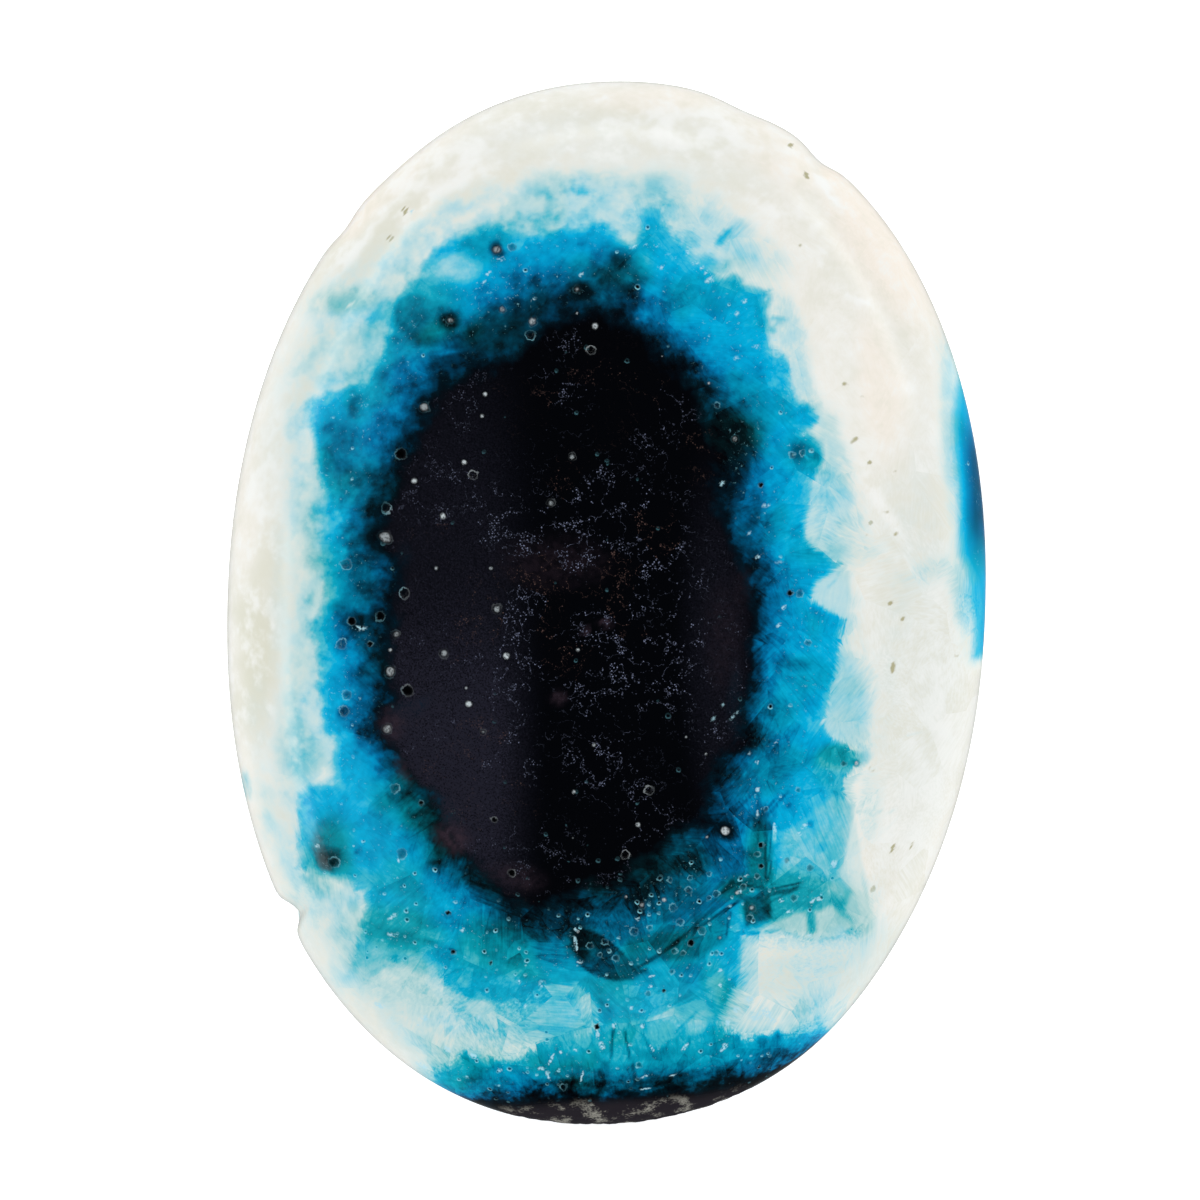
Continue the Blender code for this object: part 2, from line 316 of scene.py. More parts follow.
# Facets where crystals cut the polish: tone from 0, cream, to 1, black, strength, how soft the
# edge is in pixels, and the outline
FACETS = [
    # Lower right
    (0.53, 0.8, 5, [(718, 762), (745, 780), (757, 795), (762, 815), (752, 830), (728, 828), (716, 800)]),
    (0.74, 0.8, 3, [(757, 795), (768, 812), (766, 892), (757, 890), (748, 870), (752, 835)]),
    (0.54, 0.8, 5, [(710, 848), (745, 840), (757, 860), (756, 884), (735, 880), (715, 872)]),
    (0.46, 0.85, 5, [(770, 790), (790, 780), (822, 790), (830, 800), (800, 822), (785, 838), (774, 822)]),
    (0.30, 0.85, 4, [(781, 833), (800, 822), (835, 795), (853, 806), (846, 850), (838, 872), (812, 878),
                     (790, 874), (781, 870)]),
    (0.34, 0.7, 5, [(810, 832), (824, 828), (836, 838), (832, 856), (815, 858)]),
    (0.09, 0.85, 3, [(853, 806), (862, 860), (870, 884), (868, 900), (848, 888), (838, 872), (846, 850)]),
    (0.75, 0.75, 4, [(640, 880), (700, 845), (757, 850), (760, 888), (700, 920), (650, 925)]),
    (0.64, 0.75, 4, [(680, 880), (708, 862), (735, 876), (726, 892), (700, 905), (684, 900)]),
    (0.48, 0.8, 3, [(742, 900), (800, 884), (826, 888), (840, 905), (856, 926), (852, 932), (808, 930),
                     (742, 932)]),
    (0.84, 0.85, 3, [(743, 897), (770, 893), (772, 918), (745, 927)]),
    (0.17, 0.9, 3, [(750, 931), (775, 922), (795, 914), (806, 912), (808, 932), (780, 934), (762, 934)]),
    (0.14, 0.85, 4, [(815, 912), (832, 905), (856, 926), (840, 936), (816, 938)]),
    (0.11, 0.8, 4, [(850, 890), (868, 900), (870, 922), (856, 930), (844, 912)]),
    (0.68, 0.75, 4, [(625, 938), (700, 914), (728, 908), (726, 940), (700, 958), (655, 962), (628, 966)]),
    (0.58, 0.8, 4, [(610, 922), (640, 920), (664, 930), (640, 948), (616, 940)]),
    (0.55, 0.85, 5, [(590, 985), (640, 982), (662, 966), (705, 962), (704, 990), (680, 1008), (645, 1018),
                     (605, 1024), (600, 1008)]),
    (0.50, 0.7, 4, [(604, 985), (640, 984), (648, 1004), (620, 1018), (606, 1004)]),
    (0.32, 0.85, 3, [(647, 1020), (680, 1006), (704, 998), (706, 1006), (690, 1020), (672, 1040), (654, 1054),
                    (648, 1036)]),
    (0.39, 0.85, 3, [(708, 960), (724, 960), (725, 1011), (712, 1003)]),
    (0.46, 0.85, 3, [(726, 936), (740, 934), (739, 975), (731, 992), (723, 990)]),
    (0.82, 0.85, 4, [(572, 927), (590, 932), (608, 941), (625, 955), (640, 968), (648, 972), (634, 979),
                    (612, 981), (592, 974), (577, 962), (570, 945)]),
    (0.34, 0.85, 12, [(530, 998), (560, 990), (578, 991), (584, 1008), (590, 1024), (584, 1042), (568, 1048),
                     (548, 1046), (534, 1030)]),
    (0.34, 0.6, 3, [(604, 1026), (622, 1024), (630, 1044), (626, 1066), (606, 1064)]),
    (0.40, 0.8, 3, [(630, 1030), (644, 1026), (654, 1054), (640, 1066), (630, 1056)]),
    (0.46, 0.8, 4, [(676, 1036), (700, 1022), (722, 1026), (720, 1056), (690, 1062), (672, 1052)]),
    (0.26, 0.8, 4, [(684, 1022), (706, 1006), (714, 1014), (704, 1030), (688, 1034)]),
    # Teeth of the band
    (0.66, 0.8, 3, [(733, 1066), (734, 1036), (738, 1032), (744, 1048), (750, 1068)]),
    (0.70, 0.8, 3, [(754, 1064), (758, 1038), (763, 1034), (768, 1046), (778, 1028), (784, 1044), (788, 1058)]),
    (0.52, 0.7, 4, [(784, 1044), (800, 1034), (830, 1032), (820, 1046), (796, 1056)]),
    # Lower left
    (0.74, 0.85, 4, [(318, 822), (334, 818), (346, 838), (348, 862), (338, 876), (316, 866), (311, 850)]),
    (0.42, 0.75, 6, [(368, 912), (380, 900), (405, 915), (430, 935), (405, 945), (376, 950), (366, 934)]),
    (0.58, 0.7, 5, [(370, 922), (396, 928), (430, 938), (462, 952), (445, 958), (410, 946), (372, 934)]),
    (0.24, 0.8, 6, [(372, 945), (396, 950), (388, 962), (366, 982), (354, 978), (362, 950)]),
    (0.32, 0.75, 6, [(396, 948), (430, 955), (445, 972), (430, 976), (405, 965)]),
    (0.47, 0.6, 7, [(405, 860), (440, 875), (470, 905), (500, 935), (470, 940), (430, 915)]),
    (0.42, 0.6, 6, [(448, 962), (480, 950), (530, 960), (560, 975), (540, 986), (506, 998), (478, 994)]),
    (0.16, 0.8, 4, [(478, 998), (494, 1002), (494, 1030), (476, 1018), (462, 1008)]),
    (0.26, 0.6, 8, [(496, 1004), (535, 1000), (540, 1036), (520, 1040), (500, 1030)]),
    (0.60, 0.75, 4, [(462, 1058), (478, 1056), (500, 1090), (484, 1092), (470, 1078)]),
    (0.52, 0.7, 5, [(488, 1062), (520, 1062), (538, 1050), (560, 1044), (556, 1074), (520, 1082), (498, 1082)]),
    # Upper left
    (0.20, 0.85, 6, [(438, 258), (460, 252), (480, 262), (484, 278), (462, 286), (436, 276)]),
    (0.74, 0.75, 6, [(396, 300), (410, 292), (426, 298), (434, 318), (424, 345), (404, 338), (392, 322)]),
    (0.48, 0.75, 7, [(445, 287), (480, 282), (510, 290), (502, 306), (468, 308), (448, 304)]),
    (0.86, 0.8, 8, [(482, 316), (500, 300), (520, 300), (540, 316), (522, 342), (492, 354), (450, 372),
                    (424, 366), (452, 342)]),
    (0.78, 0.75, 9, [(540, 290), (575, 284), (600, 290), (575, 308), (540, 316)]),
    (0.24, 0.85, 7, [(329, 297), (345, 292), (360, 298), (358, 308), (338, 313), (328, 308)]),
    (0.62, 0.7, 8, [(440, 308), (466, 306), (470, 326), (452, 334), (438, 326)]),
    # Upper right
    (0.68, 0.8, 9, [(590, 243), (615, 240), (640, 258), (645, 285), (632, 305), (600, 300), (586, 270)]),
    (0.49, 0.5, 9, [(640, 300), (665, 305), (700, 340), (720, 368), (712, 395), (668, 352)]),
    (0.49, 0.65, 9, [(655, 250), (690, 275), (760, 300), (762, 350), (725, 360), (690, 320), (655, 290)]),
    (0.88, 0.8, 8, [(712, 405), (740, 406), (754, 425), (756, 455), (742, 500), (726, 510), (716, 450)]),
    # Right
    (0.48, 0.65, 8, [(745, 500), (770, 520), (788, 580), (780, 640), (765, 640), (756, 590)]),
    (0.12, 0.85, 4, [(812, 546), (850, 540), (858, 556), (840, 562), (822, 556)]),
    (0.13, 0.85, 4, [(812, 592), (826, 578), (850, 572), (850, 606), (845, 618), (826, 610)]),
    (0.49, 0.7, 5, [(780, 600), (812, 604), (838, 620), (830, 640), (800, 646), (778, 640)]),
    (0.47, 0.7, 7, [(760, 655), (800, 652), (822, 668), (820, 700), (800, 726), (762, 745)]),
    (0.22, 0.7, 8, [(838, 650), (852, 655), (866, 700), (868, 736), (846, 746), (828, 736), (822, 710)]),
    (0.54, 0.75, 5, [(762, 745), (800, 728), (820, 740), (826, 760), (800, 776), (768, 780)]),
    (0.56, 0.8, 4, [(822, 738), (846, 748), (848, 766), (836, 768), (824, 756)]),
]

# Straight edges between crystals: from and to, half width in pixels, tone and strength
SEAMS = [
    (771, 818, 770, 890, 1.6, 0.78, 0.8), (766, 820, 766, 892, 1.5, 0.86, 0.9),
    (760, 818, 758, 846, 1.5, 0.82, 0.8), (774, 822, 775, 842, 1.8, 0.14, 0.8),
    (744, 901, 804, 887, 2.0, 0.76, 0.8), (749, 895, 806, 882, 1.5, 0.80, 0.7),
    (756, 908, 800, 888, 1.2, 0.72, 0.6), (744, 898, 690, 933, 2.2, 0.88, 0.85),
    (690, 933, 642, 966, 2.2, 0.84, 0.8), (720, 903, 664, 953, 1.4, 0.84, 0.7),
    (664, 953, 626, 974, 1.6, 0.82, 0.7), (736, 880, 720, 894, 3.0, 0.90, 0.8),
    (766, 888, 733, 884, 1.5, 0.86, 0.8), (754, 880, 736, 884, 1.2, 0.82, 0.7),
    (731, 908, 726, 940, 1.6, 0.80, 0.7), (713, 905, 710, 935, 1.4, 0.78, 0.6),
    (741, 934, 738, 980, 1.5, 0.36, 0.8), (741, 933, 762, 932, 1.8, 0.56, 0.9),
    (762, 932, 782, 930, 1.5, 0.44, 0.8), (790, 934, 816, 941, 1.5, 0.30, 0.8),
    (816, 941, 850, 934, 1.4, 0.24, 0.8), (808, 898, 813, 936, 3.2, 0.54, 0.85),
    (826, 888, 856, 926, 1.6, 0.40, 0.7), (861, 868, 869, 912, 1.4, 0.14, 0.7),
    (869, 912, 860, 930, 1.4, 0.18, 0.7), (853, 810, 838, 880, 1.8, 0.24, 0.7),
    (762, 822, 790, 788, 1.8, 0.66, 0.7), (764, 812, 776, 798, 1.4, 0.70, 0.6),
    (714, 814, 752, 828, 1.3, 0.78, 0.6), (735, 812, 760, 786, 1.2, 0.74, 0.5),
    (752, 828, 760, 822, 1.2, 0.80, 0.6), (712, 848, 758, 882, 1.4, 0.74, 0.6),
    (730, 846, 760, 872, 1.2, 0.72, 0.5), (700, 858, 748, 846, 1.3, 0.72, 0.5),
    (852, 812, 900, 811, 1.2, 0.10, 0.6), (868, 842, 880, 812, 1.2, 0.08, 0.5),
    (580, 928, 606, 939, 1.5, 0.90, 0.7), (606, 939, 626, 957, 1.5, 0.88, 0.7),
    (576, 960, 594, 974, 1.6, 0.88, 0.8), (594, 974, 620, 980, 1.8, 0.84, 0.8),
    (620, 980, 650, 968, 1.6, 0.80, 0.8), (600, 966, 640, 966, 1.4, 0.84, 0.7),
    (626, 972, 600, 962, 1.2, 0.80, 0.6), (586, 986, 600, 1010, 1.6, 0.34, 0.7),
    (600, 1010, 602, 1026, 1.6, 0.44, 0.7), (672, 1036, 700, 1008, 1.6, 0.46, 0.8),
    (648, 1020, 704, 997, 1.3, 0.30, 0.7), (668, 1010, 700, 992, 1.0, 0.34, 0.5),
    (614, 1024, 610, 1064, 1.5, 0.74, 0.7), (624, 1024, 630, 1062, 1.4, 0.74, 0.7),
    (640, 1030, 654, 1056, 1.3, 0.60, 0.7), (662, 1056, 670, 1040, 1.3, 0.60, 0.6),
    (690, 1036, 688, 1052, 1.4, 0.62, 0.7), (712, 1030, 718, 1056, 1.4, 0.60, 0.7),
    (598, 1068, 604, 1086, 2.0, 0.80, 0.7), (632, 1062, 636, 1084, 2.0, 0.80, 0.7),
    (354, 978, 364, 940, 1.8, 0.30, 0.7), (366, 982, 398, 950, 1.6, 0.30, 0.7),
    (376, 932, 420, 946, 1.2, 0.30, 0.7), (420, 946, 448, 956, 1.2, 0.34, 0.7),
    (420, 938, 462, 953, 1.5, 0.74, 0.7), (444, 962, 472, 990, 1.4, 0.30, 0.6),
    (472, 992, 496, 1000, 1.4, 0.30, 0.6), (453, 990, 486, 1024, 1.2, 0.14, 0.6),
    (443, 1000, 440, 1060, 1.4, 0.12, 0.6), (446, 992, 443, 1012, 1.2, 0.16, 0.6),
    (494, 1004, 494, 1028, 1.2, 0.22, 0.7), (496, 1030, 520, 1028, 1.2, 0.20, 0.6),
    (505, 1044, 526, 1036, 1.2, 0.26, 0.6), (424, 1030, 470, 1020, 1.2, 0.03, 0.6),
    (438, 925, 500, 870, 1.2, 0.62, 0.5), (476, 932, 500, 890, 1.2, 0.66, 0.5),
    (410, 905, 470, 880, 1.1, 0.58, 0.5), (520, 945, 545, 960, 1.3, 0.64, 0.6),
    (545, 945, 600, 950, 1.3, 0.74, 0.6), (330, 802, 352, 798, 1.5, 0.60, 0.6),
    (352, 798, 392, 796, 1.2, 0.58, 0.6), (336, 830, 372, 812, 1.2, 0.56, 0.5),
    (805, 526, 822, 516, 1.3, 0.20, 0.6), (806, 524, 788, 530, 1.3, 0.62, 0.6),
    (790, 470, 786, 600, 1.2, 0.54, 0.4), (775, 505, 800, 560, 1.2, 0.46, 0.4),
    (800, 450, 830, 480, 1.2, 0.30, 0.5), (822, 596, 846, 566, 1.3, 0.24, 0.6),
    (850, 560, 872, 512, 1.2, 0.06, 0.5), (875, 515, 930, 556, 1.2, 0.05, 0.5),
    (848, 590, 850, 620, 1.2, 0.16, 0.5), (845, 655, 880, 680, 1.2, 0.12, 0.5),
    (845, 655, 858, 735, 1.4, 0.18, 0.5), (868, 740, 930, 732, 1.3, 0.08, 0.6),
    (868, 746, 900, 790, 1.2, 0.06, 0.5), (870, 845, 905, 810, 1.2, 0.05, 0.5),
    (840, 960, 905, 900, 1.2, 0.06, 0.4), (750, 960, 752, 1000, 1.2, 0.08, 0.4),
]

# Round marks and strokes: across, down, half length and half width in pixels, turn in degrees,
# tone and strength
STROKES = [
    (432, 312, 22, 12, 0, 0.72, 0.6), (430, 340, 18, 8, 0, 0.76, 0.5), (770, 750, 20, 14, 60, 0.62, 0.4),
    # Upper left
    (492, 246, 26, 14, 0, 0.58, 0.75), (434, 292, 13, 9, 0, 0.50, 0.6), (497, 250, 11, 9, 70, 0.94, 0.9), (449, 320, 11, 10, 0, 0.93, 0.9), (534, 281, 7, 6, 0, 0.85, 0.8),
    (581, 290, 14, 12, 0, 0.95, 0.9), (546, 262, 22, 13, 0, 0.54, 0.6), (356, 406, 14, 7, -60, 0.72, 0.8),
    (342, 438, 11, 9, 0, 0.82, 0.85), (342, 466, 11, 10, 0, 0.84, 0.85), (331, 428, 7, 6, 0, 0.72, 0.8),
    (356, 483, 11, 4, 30, 0.74, 0.6), (350, 304, 5, 4, 0, 0.05, 0.9), (375, 317, 10, 6, -20, 0.46, 0.9),
    (444, 254, 6, 5, 0, 0.40, 0.8), (581, 191, 9, 6, 0, 0.38, 0.9), (515, 262, 12, 10, 0, 0.62, 0.6), (578, 238, 30, 9, 0, 0.52, 0.6),
    (651, 190, 8, 7, 80, 0.22, 0.8), (445, 353, 30, 2.5, -8, 0.44, 0.75), (495, 352, 26, 2.5, 4, 0.74, 0.8),
    (338, 446, 24, 40, 0, 0.69, 0.75), (398, 340, 8, 14, 20, 0.62, 0.5), (388, 386, 14, 13, 0, 0.48, 0.5), (379, 316, 13, 28, 20, 0.33, 0.6),
    (376, 392, 26, 10, -35, 0.34, 0.6), (518, 276, 10, 8, 0, 0.66, 0.5),
    # Upper right
    (616, 262, 14, 10, 20, 0.93, 0.8), (628, 291, 8, 7, 0, 0.93, 0.8), (724, 237, 14, 4.5, -40, 0.43, 0.95),
    (736, 228, 8, 3, -50, 0.26, 0.8), (707, 262, 11, 9, 0, 0.38, 0.85), (721, 266, 13, 9, 0, 0.34, 0.7), (779, 320, 9, 4, 10, 0.42, 0.9),
    (773, 330, 5, 6, 60, 0.36, 0.8), (735, 439, 15, 14, 0, 0.96, 0.85), (804, 453, 20, 17, 0, 0.62, 0.8),
    (800, 417, 13, 8, 0, 0.50, 0.8), (772, 480, 28, 24, 0, 0.63, 0.65), (752, 368, 30, 18, 60, 0.56, 0.5), (762, 410, 26, 18, 60, 0.54, 0.5),
    (796, 452, 10, 8, 0, 0.72, 0.6), (815, 458, 8, 8, 0, 0.64, 0.7),
    # Left
    (332, 560, 90, 9, 90, 0.33, 0.7), (334, 545, 13, 24, 0, 0.18, 0.85), (356, 508, 16, 13, 0, 0.50, 0.5), (362, 560, 60, 16, 90, 0.64, 0.6), (386, 537, 19, 18, 0, 0.98, 0.95),
    (370, 539, 13, 9, 0, 0.94, 0.85), (351, 622, 15, 14, 0, 0.98, 0.95), (380, 616, 13, 11, 0, 0.98, 0.9),
    (365, 618, 14, 7, 0, 0.88, 0.75), (370, 643, 5, 4, 0, 0.85, 0.8), (344, 712, 9, 8, 0, 0.80, 0.85),
    (404, 714, 16, 15, 0, 0.92, 0.7), (342, 644, 9, 5, 0, 0.56, 0.7), (366, 690, 14, 40, 0, 0.76, 0.5),
    (366, 720, 5, 5, 0, 0.92, 0.8),
    (343, 624, 16, 34, 0, 0.76, 0.75), (366, 748, 20, 16, 0, 0.61, 0.7),
    # Right
    (786, 537, 14, 8, 0, 0.38, 0.8), (797, 664, 26, 7, 5, 0.74, 0.7), (790, 594, 5, 4, 0, 0.80, 0.8),
    (797, 592, 14, 6, 0, 0.66, 0.6), (782, 710, 22, 12, 0, 0.58, 0.5), (836, 757, 15, 9, 20, 0.60, 0.8),
    (863, 757, 9, 9, 0, 0.34, 0.7), (824, 669, 14, 20, 0, 0.56, 0.85), (811, 704, 10, 16, 0, 0.60, 0.65), (855, 762, 5, 5, 0, 0.75, 0.6), (815, 555, 22, 4, 12, 0.50, 0.8),
    (790, 556, 14, 5, 20, 0.40, 0.7), (762, 600, 10, 60, 0, 0.64, 0.5), (756, 500, 8, 30, 10, 0.84, 0.5), (750, 520, 14, 30, 0, 0.80, 0.5), (801, 495, 18, 14, 0, 0.58, 0.6),
    (836, 550, 14, 8, 0, 0.32, 0.6),
    (842, 492, 22, 8, 70, 0.20, 0.6), (826, 496, 14, 8, 70, 0.28, 0.6),
    # Lower left
    (338, 832, 44, 24, 80, 0.60, 0.7), (368, 838, 32, 38, 0, 0.61, 0.75), (330, 800, 34, 14, 0, 0.50, 0.7), (406, 842, 16, 14, 0, 0.64, 0.5),
    (352, 869, 32, 8, 12, 0.50, 0.6), (434, 921, 17, 13, 0, 0.62, 0.6), (330, 859, 15, 13, 0, 0.90, 0.9), (358, 851, 4, 4, 0, 0.80, 0.8),
    (318, 798, 12, 6, 60, 0.42, 0.8), (304, 810, 8, 3, -20, 0.26, 0.7), (322, 812, 8, 8, 0, 0.48, 0.7),
    (455, 920, 40, 4, 35, 0.66, 0.5), (490, 955, 40, 4, 25, 0.60, 0.5), (352, 905, 6, 10, 0, 0.30, 0.7),
    (368, 955, 4, 5, 0, 0.34, 0.7), (396, 905, 16, 8, 30, 0.52, 0.5), (529, 947, 10, 8, 45, 0.32, 0.85), (522, 976, 24, 14, 0, 0.27, 0.75),
    (350, 884, 8, 6, 0, 0.30, 0.6),
    # Lower right
    (725, 831, 15, 11, 20, 0.98, 0.95), (707, 838, 6, 6, 0, 0.52, 0.8), (810, 824, 5, 4, 0, 0.58, 0.8),
    (821, 848, 5, 6, 0, 0.46, 0.8), (789, 806, 4, 3, 0, 0.66, 0.8), (766, 908, 5, 6, 0, 0.90, 0.7), (804, 905, 13, 5, 0, 0.60, 0.6),
    (582, 944, 20, 10, 80, 0.97, 0.9), (638, 904, 34, 16, -20, 0.88, 0.6), (552, 913, 22, 11, 10, 0.88, 0.6), (598, 942, 16, 8, 30, 0.94, 0.7), (640, 906, 12, 8, 90, 0.95, 0.7),
    (650, 976, 16, 6, 0, 0.62, 0.6), (578, 979, 26, 7, 4, 0.56, 0.6), (610, 975, 30, 4, 8, 0.80, 0.6), (619, 1030, 14, 22, 0, 0.32, 0.7), (622, 1000, 22, 10, 0, 0.48, 0.5), (716, 988, 10, 15, 0, 0.30, 0.75), (664, 1054, 36, 8, -5, 0.67, 0.6), (760, 1046, 26, 8, -20, 0.74, 0.5),
    (606, 1072, 5, 14, 0, 0.72, 0.5), (658, 1066, 40, 7, -6, 0.66, 0.5), (686, 1076, 26, 6, -12, 0.86, 0.7),
    (802, 884, 24, 7, -8, 0.36, 0.7), (840, 888, 12, 15, 0, 0.19, 0.75), (676, 870, 20, 8, -30, 0.70, 0.5), (690, 1052, 16, 5, -12, 0.60, 0.6),
    (572, 1073, 18, 12, 0, 0.50, 0.6), (548, 1082, 30, 5, 0, 0.80, 0.6), (478, 1080, 10, 8, 0, 0.76, 0.7),
]

# Pale washes outside the halo: the same numbers as the strokes
WASHES = [
    (558, 215, 60, 24, 0, 0.24, 0.8), (515, 225, 30, 20, -20, 0.24, 0.7), (470, 225, 50, 12, -20, 0.14, 0.7),
    (580, 190, 60, 18, 0, 0.28, 0.85), (612, 222, 30, 20, 0, 0.20, 0.8), (632, 215, 18, 26, 0, 0.26, 0.8),
    (655, 205, 36, 30, 0, 0.28, 0.9), (700, 225, 44, 32, 30, 0.19, 0.85), (690, 240, 30, 16, 40, 0.20, 0.85),
    (745, 258, 40, 24, 20, 0.20, 0.9), (730, 235, 24, 18, 0, 0.19, 0.85), (788, 330, 44, 18, 75, 0.18, 0.85),
    (800, 385, 32, 14, 70, 0.17, 0.8), (825, 430, 20, 24, 0, 0.12, 0.7), (832, 480, 44, 20, 85, 0.23, 0.85),
    (834, 522, 48, 30, 80, 0.24, 0.85), (855, 545, 44, 24, 30, 0.12, 0.7), (835, 600, 26, 18, 0, 0.14, 0.8),
    (856, 702, 54, 20, 90, 0.18, 0.85), (868, 800, 60, 16, 95, 0.09, 0.7), (930, 570, 44, 16, -20, 0.10, 0.8),
    (954, 445, 110, 13, 86, 0.18, 0.95), (975, 594, 44, 9, 84, 0.34, 1.0), (959, 590, 40, 14, 80, 0.12, 0.9), (959, 370, 50, 14, 75, 0.12, 0.9),
    (810, 965, 70, 26, -20, 0.13, 0.9), (790, 1010, 70, 24, -14, 0.15, 0.9), (750, 1005, 16, 30, 0, 0.16, 0.8),
    (420, 990, 80, 30, 38, 0.15, 0.9), (345, 935, 60, 24, 72, 0.17, 0.9), (480, 1030, 80, 34, 20, 0.22, 0.9),
    (325, 888, 34, 16, 30, 0.26, 0.8), (358, 895, 14, 26, 0, 0.22, 0.8), (306, 880, 60, 24, 70, 0.16, 0.9),
    (306, 700, 90, 22, 90, 0.17, 0.85), (315, 530, 50, 12, 90, 0.24, 0.8), (305, 601, 30, 12, 90, 0.18, 0.8),
    (300, 765, 60, 26, 90, 0.18, 0.9), (300, 480, 70, 16, 90, 0.10, 0.8), (300, 430, 34, 16, 90, 0.18, 0.9),
    (320, 350, 70, 30, -60, 0.09, 0.9), (375, 300, 70, 34, -45, 0.16, 0.9), (352, 300, 44, 24, -10, 0.18, 0.9),
    (430, 235, 50, 18, -35, 0.10, 0.8), (345, 375, 44, 18, -40, 0.20, 0.9), (405, 255, 50, 18, -40, 0.18, 0.9),
    (245, 785, 14, 8, 80, 0.20, 0.8), (425, 1045, 50, 14, 35, 0.14, 0.9), (272, 820, 60, 14, 78, 0.10, 0.9),
    (860, 745, 16, 12, 0, 0.24, 0.7), (964, 595, 46, 10, 84, 0.20, 0.9), (465, 205, 44, 14, -20, 0.14, 0.8), (446, 1054, 34, 14, 32, 0.30, 0.8), (535, 1015, 80, 36, 0, 0.45, 1.0),
    (375, 985, 40, 16, 50, 0.17, 0.9), (870, 905, 16, 36, 20, 0.07, 0.8),
]

# Grains and thin veins that show white: across, down, half length, half width and turn
GRAINS = [
    (490, 273, 5, 4, -20), (482, 285, 2.5, 2.5, 0), (499, 261, 3, 2.5, 0), (534, 298, 3, 2.5, 0),
    (365, 403, 5, 3, 0), (450, 337, 3, 2, 0), (630, 246, 9, 2, 15), (470, 208, 4, 3, 0), (411, 212, 4, 3, 0),
    (656, 248, 4, 2, 0), (672, 257, 6, 2, 20), (661, 269, 4, 2, 0), (682, 243, 16, 1.4, 55),
    (690, 258, 8, 1.6, 62), (704, 270, 16, 1.4, 42), (708, 251, 4, 2.5, 0), (709, 280, 4, 2.5, 0),
    (582, 274, 4, 3, 0), (742, 300, 6, 1.6, 20), (724, 293, 5, 2, 60), (736, 312, 4, 2, 40),
    (755, 346, 4, 2.5, 30), (737, 359, 3, 2, 0), (787, 395, 2.5, 2.5, 0), (781, 398, 2, 2, 0),
    (776, 341, 16, 1.4, 65), (748, 422, 3, 2, 0), (722, 483, 3, 3, 0), (804, 433, 8, 1.6, 50),
    (360, 628, 8, 1.6, 12), (762, 504, 8, 2, 12), (739, 519, 3, 2, 0), (751, 532, 3, 2, 0),
    (786, 564, 14, 1.5, 14), (758, 556, 3, 2, 0), (778, 626, 3, 3, 0), (785, 609, 2, 2, 0),
    (778, 744, 4, 2.5, 20), (784, 608, 3, 2.5, 0), (722, 705, 8, 1.2, 60), (729, 713, 9, 1.2, 55),
    (735, 709, 6, 1.2, 60), (715, 720, 5, 1.3, 40), (319, 847, 3, 3, 0), (398, 861, 3, 3, 0),
    (416, 768, 2.5, 2, 0), (461, 931, 3, 3, 0), (397, 935, 16, 1.4, 18), (398, 914, 4, 2, -50),
    (392, 917, 5, 3, -30), (576, 944, 11, 2, 82), (580, 962, 5, 2.5, 0), (576, 930, 4, 2, 30),
    (447, 1048, 7, 3, 55), (474, 1056, 7, 3, 35), (422, 1066, 8, 3, 30), (425, 1018, 5, 4, 0),
    (380, 1005, 9, 3, 20), (418, 1024, 3, 2, 0), (480, 1016, 3, 3, 0), (526, 1007, 3, 3, 0),
    (542, 984, 4, 4, 0), (519, 983, 4, 3, 0), (758, 814, 6, 2, 85), (757, 789, 3, 2.5, 0),
    (775, 828, 8, 2, 82), (751, 755, 4, 2, 40), (756.6, 762, 2.5, 2.5, 0), (834, 864, 5, 5, 0),
    (804, 826, 5, 3, -30), (799, 834, 4, 3, 0), (740, 892, 3, 2.5, 0), (746, 876, 3, 2.5, 0),
    (602, 1046, 6, 3.5, 80), (598, 1034, 8, 2.5, 88), (551, 1060, 9, 2, -60), (561, 1053, 3, 2, 0),
    (575, 1050, 3, 2, 0), (582, 1077, 9, 1.4, -75), (685, 1047, 6, 2.5, -50), (652, 1048, 6, 1.6, 60),
    (725, 1046, 4, 4, 0), (722, 1050, 4, 2, -30), (645, 1089, 8, 1.1, -8), (645, 1077, 6, 1.4, -20),
    (673, 1076, 5, 1.4, -15), (720, 970, 3, 2.5, 0), (720, 985, 3, 3, 0), (812, 901, 3, 4, 30),
    (819, 899, 4, 3, 0), (781, 901, 4, 2, 0), (789, 912, 6, 1.6, -20), (810, 935, 3, 2, 0),
    (652, 977, 4, 1.5, 0), (642, 1026, 3, 3, 0), (614, 1026, 3, 4, 0), (650, 986, 3, 2, 0),
    (637, 918, 4, 2, 30), (631, 1008, 3, 2, 0), (766, 1012, 10, 5, 30), (750, 1000, 8, 5, 0),
    (772, 1020, 8, 4, 30), (736, 1010, 5, 4, 0), (755, 1018, 6, 4, 0), (728, 1022, 4, 4, 0),
    (540, 1068, 8, 2, 20), (548, 1076, 6, 1.6, 60), (500, 1070, 4, 2, 0), (508, 1045, 3, 2, 0),
]

